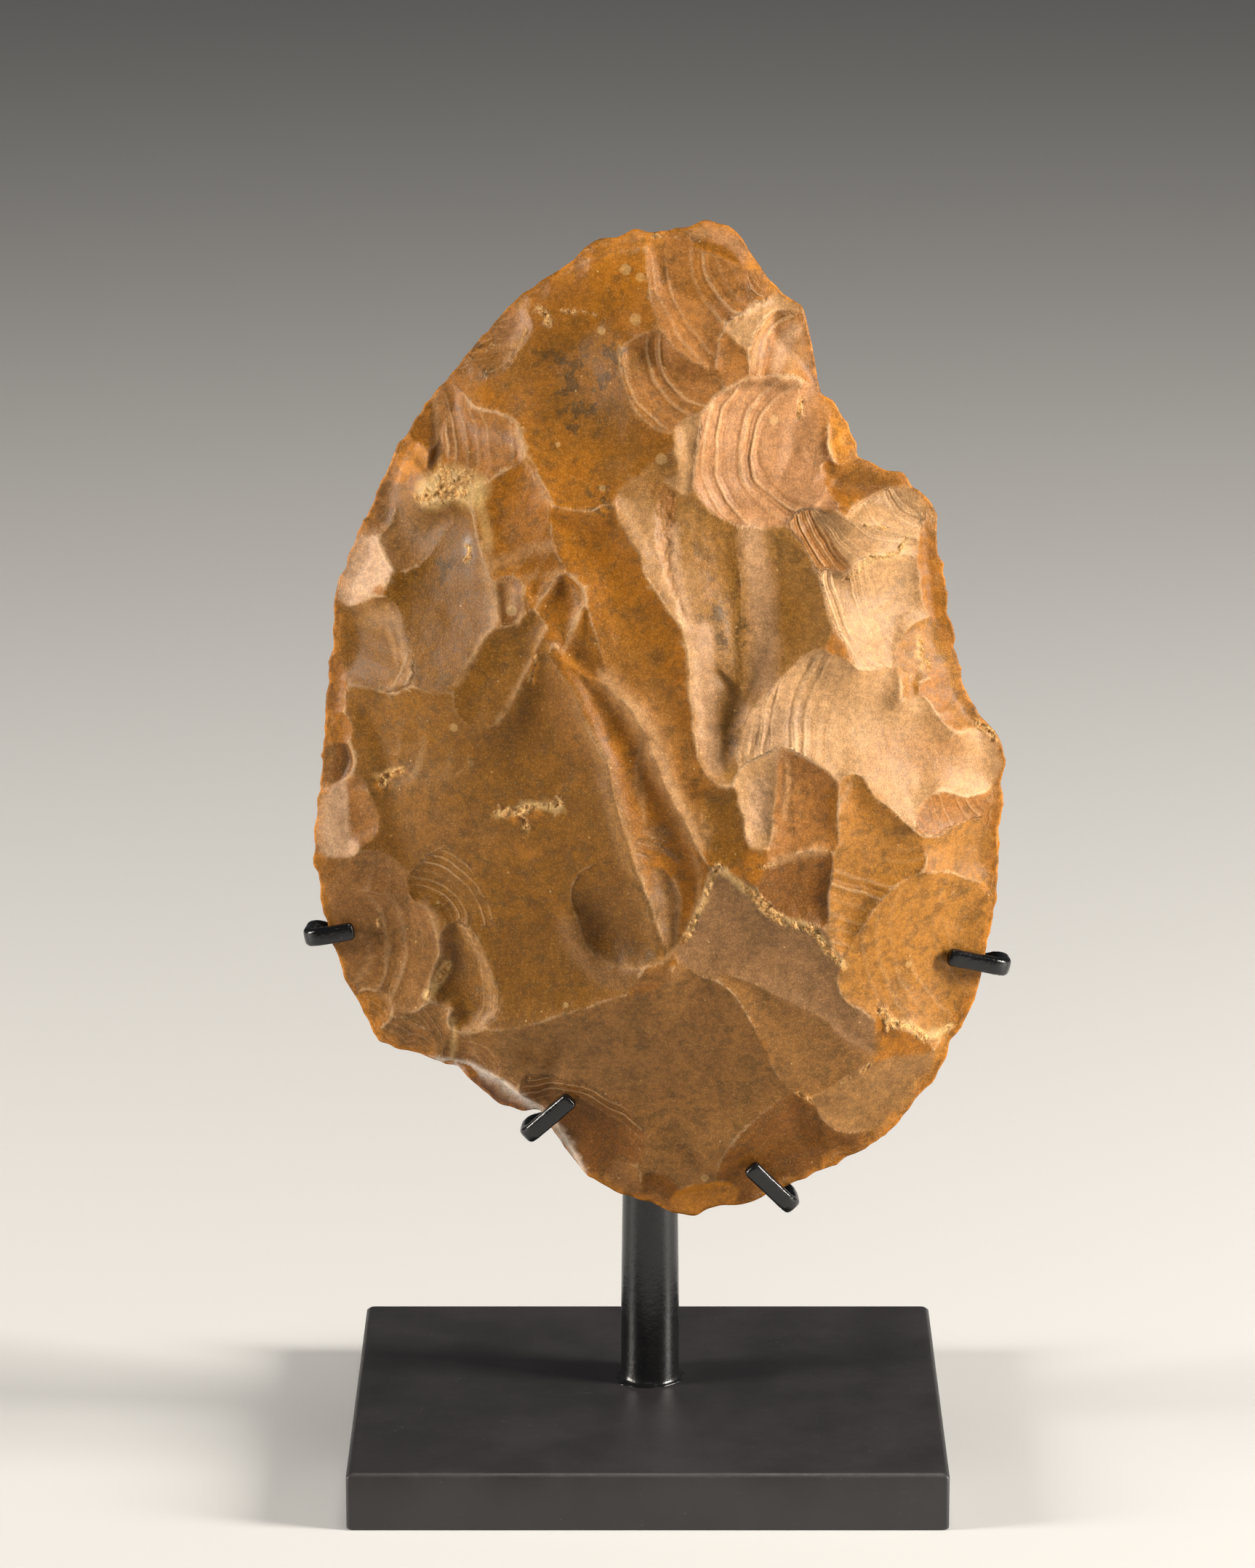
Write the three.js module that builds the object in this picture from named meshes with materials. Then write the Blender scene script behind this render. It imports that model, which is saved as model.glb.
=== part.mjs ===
// Stone hand axe held by four bent prongs on a post and base block.
// Millimetres, Z up, front of the axe toward -Y, origin at the centre of the base's underside.
import * as THREE from "three";

// ---------------------------------------------------------------- driving dimensions
const BASE_WIDE = 100;
const BASE_DEEP = 80;
const BASE_HIGH = 10;
const BASE_TOP_CHAMFER = 0.7;
const BASE_FOOT_CHAMFER = 0.4;
const BASE_CORNER_RADIUS = 0.6;
const POST_X = 0.4;
const POST_Y = 5;
const POST_FOOT_RADIUS = 5;
const POST_NECK_RADIUS = 4.55;
const POST_TOP_Z = 80;
const STRIP_WIDE = 2.9;
const STRIP_THICK = 1.9;
const STRIP_CORNER = 0.5;
const TOUCH_GAP = 0.35;
const AXE_CENTRE = new THREE.Vector3(0, -13, 130);
const AXE_LEAN = THREE.MathUtils.degToRad(5);
const AXE_HALF_THICK = 17.5;
const EDGE_SLOPE = 0.75;
const SPOKES = 96;
const RINGS = 19;

// ---------------------------------------------------------------- colours
const FLINT = new THREE.MeshStandardMaterial({ color: 0xa86a2c, roughness: 0.45, metalness: 0 });
const IRON = new THREE.MeshStandardMaterial({ color: 0x1b1b1d, roughness: 0.55, metalness: 0 });

// ---------------------------------------------------------------- the axe's outline
// Corners of the margin seen square on: right, up. Clockwise from the tip.
const MARGIN = [
  [10, 84.4], [4.5, 82.7], [-2, 83.1], [-8.3, 81.3], [-15.5, 75.2], [-23, 70.1],
  [-30, 61.6], [-34.5, 57], [-40.6, 47.8], [-44.1, 40.2], [-48.2, 31.5], [-51.3, 23.4],
  [-52.6, 10], [-53.2, 0.5], [-55.3, -14.7], [-55.5, -23], [-53.5, -32], [-50.1, -41.6],
  [-44.3, -52.6], [-36, -55.4], [-30.5, -58], [-24.6, -63.1], [-17.9, -65], [-14.5, -69.5],
  [-11.2, -74.6], [-3.6, -79.5], [4.2, -81.7], [8.2, -82.3], [15, -80.6], [27.2, -75.8],
  [35, -71.6], [42.2, -66.6], [47.3, -59.9], [51.5, -51.5], [55.4, -43], [57, -32],
  [58.5, -24.7], [58, -20.5], [59.1, -5.5], [57.8, -0.6], [54.6, 2.8], [51, 13.5],
  [49, 24], [47.5, 35], [46.8, 38.2], [41.5, 43.1], [36.8, 45.3], [34.2, 45.7],
  [34, 48.5], [28.6, 56.3], [27.1, 62], [25.2, 70.2], [18.8, 76.1], [14.2, 82.6],
];

function cross2(ax, ay, bx, by) {
  return ax * by - ay * bx;
}

// Distance from the middle to the margin along one direction.
function marginRadius(angle) {
  const dx = Math.cos(angle);
  const dy = Math.sin(angle);
  for (let i = 0; i < MARGIN.length; i += 1) {
    const p = MARGIN[i];
    const q = MARGIN[(i + 1) % MARGIN.length];
    const ex = q[0] - p[0];
    const ey = q[1] - p[1];
    const turn = cross2(dx, dy, ex, ey);
    const reach = cross2(p[0], p[1], ex, ey) / turn;
    const along = cross2(p[0], p[1], dx, dy) / turn;
    if (reach > 0 && along >= -1e-9 && along <= 1 + 1e-9) {
      return reach;
    }
  }
  throw new Error("the outline has a gap");
}

// The same distance averaged over neighbouring directions: the blank's broad form.
const BROAD_STEPS = 360;
const BROAD = Array.from({ length: BROAD_STEPS }, (_, i) => {
  let sum = 0;
  let weight = 0;
  for (let k = -24; k <= 24; k += 2) {
    const w = Math.exp(-0.5 * (k / 10) ** 2);
    sum += w * marginRadius(((i + k) * 2 * Math.PI) / BROAD_STEPS);
    weight += w;
  }
  return sum / weight;
});

function broadRadius(angle) {
  const turn = ((angle / (2 * Math.PI)) % 1 + 1) % 1;
  const at = turn * BROAD_STEPS;
  const low = Math.floor(at) % BROAD_STEPS;
  const part = at - Math.floor(at);
  return BROAD[low] * (1 - part) + BROAD[(low + 1) % BROAD_STEPS] * part;
}

// ---------------------------------------------------------------- flake scars
// Each scar is a shallow dish struck inward: from x, y, to x, y, half width, depth.
const FRONT_SCARS = [
  [-44, 66, 6, 26, 24, 2.0], [-60, 10, -6, 24, 20, 1.8], [0, -92, -4, -30, 32, 3.0],
  [62, -30, 8, -30, 22, 2.2], [-66, -16, 14, -16, 34, 3.2], [-13, 16, 6, -40, 5.5, 1.6],
  [-4.4, 24.4, 22.4, -24.8, 9.5, 1.7], [4.2, 47.6, 19.4, 17.2, 12, 1.4],
  [14, 36, 13, -10, 6.8, 1.4], [16, 64, -4.5, 57.5, 8.2, 1.2], [12, 88, 6, 59.5, 9.5, 1.7],
  [29, 66, 17.5, 60, 8.5, 1.2], [40, 50, 33, 33, 9, 1.6], [36, 47, 7.2, 44.5, 12.5, 2.2],
  [52, 30, 28, 14, 12, 1.3], [50, 28, 32, 11, 8.5, 1.3], [49, 44, 52, 10, 3.2, 1.2],
  [60, 2, 14, -1, 11.5, 1.6], [41, 6, 32, -41, 8.5, 1.4], [61, -38, 31.3, -38, 14, 1.7],
  [42, -58, 5, -25, 9, 1.2], [42, -66, 10, -39, 8.5, 0.8], [22, -88, -6, -50, 17, 0.9],
  [32, -82, 24, -60.5, 11, 1.0], [-52, -58, -33, -48, 8, 1.2], [-49, -38, -33.6, -37, 8.2, 1.0],
  [-46, 34, -26, 14, 11.5, 2.0], [-52, 18, -38.6, 11, 6.6, 1.0], [-38, 56, -20.5, 46, 9, 1.3],
];

// The back is worked the same way: a ring of long flakes, then a ring of short ones.
const BACK_LONG_FLAKES = 11;
const BACK_SHORT_FLAKES = 19;

function variation(i, k) {
  const s = Math.sin(i * 12.9898 + k * 78.233) * 43758.5453;
  return s - Math.floor(s);
}

// A long flake stops near a wandering ridge down the middle of the back, a short one near the edge.
function backScars() {
  const list = [];
  const ringOf = (count, inward, share, depth, shift) => {
    for (let i = 0; i < count; i += 1) {
      const angle = ((i + shift + 0.5 * variation(i, shift)) * 2 * Math.PI) / count;
      const out = marginRadius(angle) * 1.05;
      const x0 = Math.cos(angle) * out;
      const y0 = Math.sin(angle) * out;
      const ridgeX = 7 * Math.sin(y0 / 24) - Math.sign(x0) * 5 * variation(i, shift + 1);
      const ridgeY = 0.5 * y0 + 12 * (variation(i, shift + 4) - 0.5);
      const reach = inward * (0.85 + 0.15 * variation(i, shift + 2));
      const x1 = x0 + (ridgeX - x0) * reach;
      const y1 = y0 + (ridgeY - y0) * reach;
      const half = (share * Math.PI * out) / count;
      list.push([x0, y0, x1, y1, half, depth * (0.7 + 0.6 * variation(i, shift + 3))]);
    }
  };
  ringOf(BACK_LONG_FLAKES, 1, 1.2, 2.2, 0);
  ringOf(BACK_SHORT_FLAKES, 0.42, 1.1, 1.0, 5);
  return list;
}

// Height of the unflaked lens over the middle plane: a dome that meets a bevelled edge.
function blankHeight(x, y) {
  const angle = Math.atan2(y, x);
  const r = Math.hypot(x, y);
  const t = Math.min(r / broadRadius(angle), 1.3);
  const dome = 1 + AXE_HALF_THICK * Math.max(1 - t ** 2.2, 0) ** 0.85;
  const edge = EDGE_SLOPE * Math.max(marginRadius(angle) - r, 0);
  return Math.min(dome, edge);
}

// One face: the lens with its scars struck one after another, each levelled on what is there.
function flakedFace(scars) {
  const cut = [];
  const height = (x, y) => {
    const blank = blankHeight(x, y);
    let z = blank;
    for (const s of cut) {
      const du = ((x - s.x0) * s.ux + (y - s.y0) * s.uy) / s.long;
      const v = -(x - s.x0) * s.uy + (y - s.y0) * s.ux;
      const q = (2 * du - 1) ** 2 + (v / s.half) ** 2;
      const level = s.fit[0] + s.fit[1] * (x - s.cx) + s.fit[2] * (y - s.cy);
      z = Math.min(z, blank + level + s.deep * (q - 1) + 3 * Math.max(q - 1.5, 0));
    }
    return Math.max(z, 0.22 * blank);
  };
  for (const [x0, y0, x1, y1, half, deep] of scars) {
    const long = Math.hypot(x1 - x0, y1 - y0);
    const ux = (x1 - x0) / long;
    const uy = (y1 - y0) / long;
    const rim = [];
    for (let k = 0; k < 48; k += 1) {
      const a = (k * 2 * Math.PI) / 48;
      const u = ((Math.cos(a) + 1) / 2) * long;
      const v = Math.sin(a) * half;
      const px = x0 + u * ux - v * uy;
      const py = y0 + u * uy + v * ux;
      if (Math.hypot(px, py) < marginRadius(Math.atan2(py, px)) - 0.5) {
        rim.push([px, py, height(px, py) - blankHeight(px, py)]);
      }
    }
    const n = rim.length;
    const cx = rim.reduce((t, p) => t + p[0], 0) / n;
    const cy = rim.reduce((t, p) => t + p[1], 0) / n;
    cut.push({ x0, y0, ux, uy, long, half, deep, cx, cy, fit: planeFit(rim, cx, cy) });
  }
  return height;
}

// Least-squares plane through the rim's drops, with its slopes held down a little.
function planeFit(rim, cx, cy) {
  const m = new THREE.Matrix3();
  const e = m.elements;
  e.fill(0);
  const rhs = new THREE.Vector3();
  for (const [x, y, d] of rim) {
    const row = [1, x - cx, y - cy];
    for (let i = 0; i < 3; i += 1) {
      for (let j = 0; j < 3; j += 1) {
        e[3 * j + i] += row[i] * row[j];
      }
      rhs.setComponent(i, rhs.getComponent(i) + row[i] * d);
    }
  }
  e[4] += 0.4 * rim.length;
  e[8] += 0.4 * rim.length;
  rhs.applyMatrix3(m.invert());
  return [rhs.x, rhs.y, rhs.z];
}

const frontHeight = flakedFace(FRONT_SCARS);
const backHeight = flakedFace(backScars());

// The edge wanders a little between front and back.
function edgeWander(x, y) {
  const angle = Math.atan2(y, x);
  const share = Math.min(Math.hypot(x, y) / broadRadius(angle), 1) ** 2;
  return share * (0.7 * Math.sin(2 * angle + 0.6) + 0.5 * Math.sin(5 * angle + 1.9));
}

// ---------------------------------------------------------------- frames and meshes
const RIGHT = new THREE.Vector3(1, 0, 0);
const UP = new THREE.Vector3(0, Math.sin(AXE_LEAN), Math.cos(AXE_LEAN));
const FRONT = new THREE.Vector3(0, -Math.cos(AXE_LEAN), Math.sin(AXE_LEAN));

function fromAxe(right, up, front) {
  const p = AXE_CENTRE.clone();
  p.addScaledVector(RIGHT, right);
  p.addScaledVector(UP, up);
  p.addScaledVector(FRONT, front);
  return p;
}

function closedMesh(name, material, points, faces) {
  const geometry = new THREE.BufferGeometry();
  const flat = new Float32Array(points.length * 3);
  points.forEach((p, i) => p.toArray(flat, i * 3));
  geometry.setAttribute("position", new THREE.BufferAttribute(flat, 3));
  geometry.setIndex(faces.flat());
  geometry.computeVertexNormals();
  const mesh = new THREE.Mesh(geometry, material.clone());
  mesh.name = name;
  return mesh;
}

// Rings of equal count joined side to side, closed by a point at each end.
function skin(rings, first, last) {
  const points = [first, ...rings.flat(), last];
  const n = rings[0].length;
  const faces = [];
  for (let i = 0; i < n; i += 1) {
    const j = (i + 1) % n;
    faces.push([0, 1 + j, 1 + i]);
    for (let k = 0; k + 1 < rings.length; k += 1) {
      const a = 1 + k * n;
      const b = a + n;
      faces.push([a + i, a + j, b + j], [a + i, b + j, b + i]);
    }
    const end = 1 + (rings.length - 1) * n;
    faces.push([end + i, end + j, points.length - 1]);
  }
  return { points, faces };
}

function handAxe() {
  const ring = (k, side) => {
    const list = [];
    for (let i = 0; i < SPOKES; i += 1) {
      const angle = (i * 2 * Math.PI) / SPOKES;
      const r = (marginRadius(angle) * k) / RINGS;
      const x = Math.cos(angle) * r;
      const y = Math.sin(angle) * r;
      const over = side > 0 ? frontHeight(x, y) : -backHeight(x, y);
      list.push(fromAxe(x, y, edgeWander(x, y) + (k === RINGS ? 0 : over)));
    }
    return list;
  };
  const rings = [];
  for (let k = 1; k <= RINGS; k += 1) {
    rings.push(ring(k, -1));
  }
  for (let k = RINGS - 1; k >= 1; k -= 1) {
    rings.push(ring(k, 1));
  }
  const back = fromAxe(0, 0, -backHeight(0, 0));
  const front = fromAxe(0, 0, frontHeight(0, 0));
  const { points, faces } = skin(rings, back, front);
  return closedMesh("hand_axe", FLINT, points, faces);
}

function baseBlock() {
  const loop = (inset, z) => {
    const list = [];
    const r = BASE_CORNER_RADIUS;
    for (let corner = 0; corner < 4; corner += 1) {
      const sx = corner === 0 || corner === 3 ? 1 : -1;
      const sy = corner < 2 ? 1 : -1;
      for (let k = 0; k <= 2; k += 1) {
        const a = ((corner + k / 2) * Math.PI) / 2;
        const x = sx * (BASE_WIDE / 2 - r) + Math.cos(a) * r - sx * inset;
        const y = sy * (BASE_DEEP / 2 - r) + Math.sin(a) * r - sy * inset;
        list.push(new THREE.Vector3(x, y, z));
      }
    }
    return list;
  };
  const rings = [
    loop(BASE_FOOT_CHAMFER, 0),
    loop(0, BASE_FOOT_CHAMFER),
    loop(0, BASE_HIGH - BASE_TOP_CHAMFER),
    loop(BASE_TOP_CHAMFER, BASE_HIGH),
  ];
  const { points, faces } = skin(rings, new THREE.Vector3(0, 0, 0), new THREE.Vector3(0, 0, BASE_HIGH));
  return closedMesh("base_block", IRON, points, faces);
}

function post() {
  const loop = (radius, z) => {
    const list = [];
    for (let i = 0; i < 40; i += 1) {
      const a = (i * 2 * Math.PI) / 40;
      list.push(new THREE.Vector3(POST_X + Math.cos(a) * radius, POST_Y + Math.sin(a) * radius, z));
    }
    return list;
  };
  const rings = [
    loop(POST_FOOT_RADIUS, BASE_HIGH),
    loop(POST_FOOT_RADIUS, BASE_HIGH + 12),
    loop(POST_NECK_RADIUS, 52),
    loop(POST_NECK_RADIUS, POST_TOP_Z - 1),
    loop(POST_NECK_RADIUS - 1, POST_TOP_Z),
  ];
  const foot = new THREE.Vector3(POST_X, POST_Y, BASE_HIGH);
  const head = new THREE.Vector3(POST_X, POST_Y, POST_TOP_Z);
  const { points, faces } = skin(rings, foot, head);
  return closedMesh("post", IRON, points, faces);
}

// ---------------------------------------------------------------- prongs
// Path through the corners with each corner bent round instead of sharp.
function bentPath(corners, bend) {
  const path = [{ p: corners[0].p.clone(), s: corners[0].s.clone() }];
  for (let i = 1; i + 1 < corners.length; i += 1) {
    const here = corners[i].p;
    const before = corners[i - 1].p.clone().sub(here);
    const after = corners[i + 1].p.clone().sub(here);
    const cutIn = Math.min(bend, before.length() * 0.45);
    const cutOut = Math.min(bend, after.length() * 0.45);
    const a = here.clone().addScaledVector(before.normalize(), cutIn);
    const b = here.clone().addScaledVector(after.normalize(), cutOut);
    for (let k = 0; k <= 5; k += 1) {
      const t = k / 5;
      const p = a.clone().multiplyScalar((1 - t) ** 2);
      p.addScaledVector(here, 2 * t * (1 - t));
      p.addScaledVector(b, t * t);
      path.push({ p, s: corners[i].s.clone() });
    }
  }
  const end = corners[corners.length - 1];
  path.push({ p: end.p.clone(), s: end.s.clone() });
  return path;
}

// A flat strip with softened corners carried along a path. The tip is rounded over.
function strip(name, corners, bend) {
  const path = bentPath(corners, bend);
  const hw = STRIP_WIDE / 2;
  const ht = STRIP_THICK / 2;
  const c = STRIP_CORNER;
  const section = [
    [hw, -ht + c], [hw, ht - c], [hw - c, ht], [-hw + c, ht],
    [-hw, ht - c], [-hw, -ht + c], [-hw + c, -ht], [hw - c, -ht],
  ];
  const rings = [];
  const ringAt = (p, side, up, scale) => {
    rings.push(section.map(([w, t]) => {
      const q = p.clone().addScaledVector(side, w * scale);
      return q.addScaledVector(up, t * scale);
    }));
  };
  path.forEach((node, i) => {
    const to = path[Math.min(i + 1, path.length - 1)].p;
    const from = path[Math.max(i - 1, 0)].p;
    const along = to.clone().sub(from).normalize();
    const side = node.s.clone().addScaledVector(along, -node.s.dot(along)).normalize();
    const up = new THREE.Vector3().crossVectors(side, along).normalize();
    if (i === 0) {
      ringAt(node.p.clone().addScaledVector(along, 0.05), side, up, 0.6);
      ringAt(node.p.clone().addScaledVector(along, 0.55), side, up, 1);
    } else {
      ringAt(node.p, side, up, 1);
    }
  });
  const first = new THREE.Vector3();
  for (const p of rings[0]) {
    first.addScaledVector(p, 1 / section.length);
  }
  const { points, faces } = skin(rings, first, path[path.length - 1].p.clone());
  return closedMesh(name, IRON, points, faces.map(([i, j, k]) => [i, k, j]));
}

// Highest surface under a strip's finger, so that the finger lies on it with a small gap.
function fingerRest(from, to) {
  let lift = 0;
  const side = new THREE.Vector2(-(to[1] - from[1]), to[0] - from[0]).normalize();
  const startH = frontHeight(from[0], from[1]) + edgeWander(from[0], from[1]);
  const endH = edgeWander(to[0], to[1]);
  for (let k = 0; k <= 10; k += 1) {
    for (let w = -1; w <= 1; w += 0.5) {
      const t = k / 10;
      const x = from[0] + (to[0] - from[0]) * t + side.x * w * STRIP_WIDE * 0.5;
      const y = from[1] + (to[1] - from[1]) * t + side.y * w * STRIP_WIDE * 0.5;
      if (Math.hypot(x, y) < marginRadius(Math.atan2(y, x))) {
        const line = startH + (endH - startH) * t;
        lift = Math.max(lift, frontHeight(x, y) + edgeWander(x, y) - line);
      }
    }
  }
  const up = lift + TOUCH_GAP + STRIP_THICK * 0.62;
  return [startH + up, endH + up];
}

// A prong: finger on the front face, turn round the margin, arm behind to the post.
function prong(name, tip, outer, armZ, armSide, mid) {
  const [tipH, outerH] = fingerRest(tip, outer);
  const across = new THREE.Vector3();
  across.addScaledVector(RIGHT, -(outer[1] - tip[1]));
  across.addScaledVector(UP, outer[0] - tip[0]);
  across.normalize();
  const inward = new THREE.Vector2(tip[0] - outer[0], tip[1] - outer[1]).normalize();
  const end = new THREE.Vector3(POST_X + armSide * (POST_NECK_RADIUS + 2 * TOUCH_GAP), POST_Y, armZ);
  const backH = -STRIP_THICK - 4.2;
  const standing = new THREE.Vector3(0, 0, armSide > 0 ? 1 : -1);
  const flip = across.dot(standing) < 0 ? -1 : 1;
  standing.multiplyScalar(flip);
  const corners = [
    { p: fromAxe(tip[0], tip[1], tipH), s: across },
    { p: fromAxe(outer[0], outer[1], outerH), s: across },
    { p: fromAxe(outer[0] + inward.x * 0.6, outer[1] + inward.y * 0.6, backH), s: across },
    { p: fromAxe(mid[0], mid[1], mid[2]), s: across.clone().lerp(standing, 0.6) },
    { p: end, s: standing },
  ];
  return strip(name, corners, 2.2);
}

// ---------------------------------------------------------------- assembly
const part = new THREE.Group();
part.name = "stone_hand_axe";
part.add(handAxe());
part.add(baseBlock());
part.add(post());
part.add(prong("prong_upper_left", [-48.4, -33.4], [-56, -33.6], 74, -1, [-22, -48, -21]));
part.add(prong("prong_upper_right", [49.6, -37.2], [59.3, -39.7], 72, 1, [24, -50, -21]));
part.add(prong("prong_lower_left", [-12.6, -61.2], [-20, -68.2], 60, -1, [-11, -69, -20]));
part.add(prong("prong_lower_right", [16.5, -73.2], [23.8, -80.6], 58, 1, [14, -74, -20]));

export default part;
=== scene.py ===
import math

import bpy
import numpy as np
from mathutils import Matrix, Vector


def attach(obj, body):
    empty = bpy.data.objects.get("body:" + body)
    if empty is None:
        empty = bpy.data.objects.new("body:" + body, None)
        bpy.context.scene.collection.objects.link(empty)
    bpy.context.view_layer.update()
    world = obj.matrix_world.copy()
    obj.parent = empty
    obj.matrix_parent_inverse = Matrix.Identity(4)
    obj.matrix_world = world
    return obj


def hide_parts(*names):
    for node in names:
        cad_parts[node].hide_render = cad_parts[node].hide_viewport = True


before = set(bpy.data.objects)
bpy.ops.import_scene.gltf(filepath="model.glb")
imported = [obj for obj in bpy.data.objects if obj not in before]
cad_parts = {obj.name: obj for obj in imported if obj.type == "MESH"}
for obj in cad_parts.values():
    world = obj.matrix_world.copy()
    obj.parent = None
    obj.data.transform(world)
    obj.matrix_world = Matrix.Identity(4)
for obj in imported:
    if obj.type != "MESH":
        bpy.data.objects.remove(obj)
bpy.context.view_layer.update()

# Everything below is worked out in millimetres and turned into metres as a mesh is made.
MM = 0.001
TURN = 2 * math.pi

# ------------------------------------------------------------------ sizes shared with the solids
BASE_WIDE = 100.0
BASE_DEEP = 80.0
BASE_HIGH = 10.0
POST_X = 0.4
POST_Y = 5.0
POST_FOOT_RADIUS = 5.0
POST_NECK_RADIUS = 4.55
POST_TOP_Z = 80.0
STRIP_WIDE = 2.9
STRIP_THICK = 1.9
TOUCH_GAP = 0.12
AXE_CENTRE = np.array([0.0, -13.0, 130.0])
AXE_LEAN = math.radians(5)
AXE_HALF_THICK = 17.5
EDGE_SLOPE = 0.75
# How steeply the front face is looked down on, where outlines are drawn as they look.
SIGHT_SLOPE = math.tan(math.radians(10.5))
RIGHT = np.array([1.0, 0.0, 0.0])
UP = np.array([0.0, math.sin(AXE_LEAN), math.cos(AXE_LEAN)])
FRONT = np.array([0.0, -math.cos(AXE_LEAN), math.sin(AXE_LEAN)])

# ------------------------------------------------------------------ the axe's outline
# Corners of the margin seen square on, right and up, clockwise from the tip.
MARGIN = [
    (10.0, 84.4), (4.5, 82.7), (1.2, 82.1), (-2.0, 83.1), (-4.5, 81.7), (-8.3, 81.3), (-15.5, 75.2),
    (-20.6, 72.0), (-23.0, 70.1), (-26.2, 66.0), (-30.0, 61.6), (-34.5, 57.0), (-37.2, 52.7),
    (-40.6, 47.8), (-44.1, 40.2), (-48.2, 31.5), (-51.3, 23.4), (-52.6, 10.0), (-53.2, 0.5),
    (-55.3, -14.7), (-54.9, -19.0), (-55.5, -23.0), (-53.5, -32.0), (-50.1, -41.6), (-47.4, -47.6),
    (-44.3, -52.6), (-36.0, -55.4), (-30.5, -58.0), (-24.6, -63.1), (-20.6, -64.3), (-17.9, -65.0),
    (-14.5, -69.5), (-11.2, -74.6), (-3.6, -79.5), (4.2, -81.7), (8.2, -82.3), (10.2, -81.2),
    (15.0, -80.6), (22.5, -77.8), (27.2, -75.8), (35.0, -71.6), (42.2, -66.6), (44.2, -63.1),
    (47.3, -59.9), (51.5, -51.5), (55.4, -43.0), (57.0, -32.0), (58.5, -24.7), (58.0, -20.5),
    (59.1, -5.5), (57.8, -0.6), (54.6, 2.8), (52.0, 7.8), (51.0, 13.5), (49.0, 24.0), (47.5, 35.0),
    (46.8, 38.2), (43.9, 40.2), (41.5, 43.1), (38.7, 43.2), (36.8, 45.3), (34.2, 45.7), (34.0, 48.5),
    (30.5, 55.0), (28.6, 56.3), (27.1, 62.0), (25.2, 70.2), (22.1, 72.4), (18.8, 76.1), (14.2, 82.6),
]

SPOKES = 2880
spoke_angles = np.arange(SPOKES) * TURN / SPOKES


def srgb(red, green, blue):
    """A colour as a screen shows it, 0 to 255, as the linear colour a shader takes."""
    return tuple(((c / 255 + 0.055) / 1.055) ** 2.4 if c > 10 else c / 255 / 12.92
                 for c in (red, green, blue)) + (1.0,)


# The flint's shades, chosen and then corrected to match the stone. The tints below also use dark for
# painted shadow, and milk and pale for painted highlights.
SHADES = {name: np.array(srgb(*tone)[:3]) for name, tone in {
    "olive": (142, 92, 20), "amber": (172, 106, 18), "deep": (160, 98, 12), "honey": (176, 116, 40),
    "brown": (152, 104, 50), "amber_brown": (136, 84, 26), "grey_brown": (150, 108, 66),
    "rose_brown": (156, 106, 54), "grey": (148, 104, 52), "grey_rose": (162, 114, 60),
    "rose": (172, 112, 50), "pink": (190, 134, 84), "pale": (198, 150, 98), "pale_pink": (212, 168, 128),
    "pale_olive": (164, 114, 52), "orange": (218, 140, 44), "plum": (132, 84, 58), "milk": (246, 226, 208),
    "cream": (232, 190, 122), "dark": (108, 70, 24),
}.items()}


def walk_margin():
    """Distance from the middle to the margin at each spoke."""
    corners = np.array(MARGIN + MARGIN[:1])
    points = []
    for p, q in zip(corners[:-1], corners[1:]):
        steps = max(2, int(np.hypot(*(q - p)) / 0.2))
        points.append(p + (q - p) * (np.arange(steps) / steps)[:, None])
    points = np.vstack(points)
    angle = np.arctan2(points[:, 1], points[:, 0]) % TURN
    order = np.argsort(angle)
    radius = np.hypot(points[:, 0], points[:, 1])[order]
    angle = angle[order]
    angle = np.concatenate([angle - TURN, angle, angle + TURN])
    return np.interp(spoke_angles, angle, np.tile(radius, 3))


def soften_ring(values, spread):
    """Blur a closed ring of values by a number of spokes."""
    x = np.arange(SPOKES)
    x = np.minimum(x, SPOKES - x)
    kernel = np.exp(-0.5 * (x / spread) ** 2)
    kernel /= kernel.sum()
    return np.real(np.fft.ifft(np.fft.fft(values) * np.fft.fft(kernel)))


def ring_noise(seed, spread):
    """Even-strength random wobble round the ring."""
    rough = np.random.default_rng(seed).normal(size=SPOKES)
    smooth = soften_ring(rough, spread)
    return smooth / smooth.std()


plain_margin = walk_margin()
edge_nibble = 0.34 * ring_noise(3, 17) + 0.15 * ring_noise(4, 5)
margin_ring = soften_ring(plain_margin, 3) - np.abs(edge_nibble)
broad_ring = soften_ring(plain_margin, 80)


def at_angle(ring, angle):
    return np.interp(angle % TURN, np.append(spoke_angles, TURN), np.append(ring, ring[0]))


# ------------------------------------------------------------------ height fields
STEP = 0.2
LEFT, RIGHT_SIDE, LOW, HIGH = -62.0, 66.0, -88.0, 90.0
columns = np.arange(LEFT, RIGHT_SIDE, STEP)
rows = np.arange(LOW, HIGH, STEP)
X, Y = np.meshgrid(columns, rows)
ANGLE = np.arctan2(Y, X)
REACH = np.hypot(X, Y)
INSIDE = at_angle(margin_ring, ANGLE) - REACH
SHAPE = X.shape


def blur(field, size):
    """Gaussian blur by a size in millimetres."""
    fy = np.fft.fftfreq(SHAPE[0], STEP)[:, None]
    fx = np.fft.rfftfreq(SHAPE[1], STEP)[None, :]
    soft = np.exp(-2 * (math.pi * size) ** 2 * (fx ** 2 + fy ** 2))
    return np.fft.irfft2(np.fft.rfft2(field) * soft, SHAPE)


def wobble(seed, size):
    """Seeded random field of unit strength with lumps of a size in millimetres."""
    field = blur(np.random.default_rng(seed).normal(size=SHAPE), size)
    return field / field.std()


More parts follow.
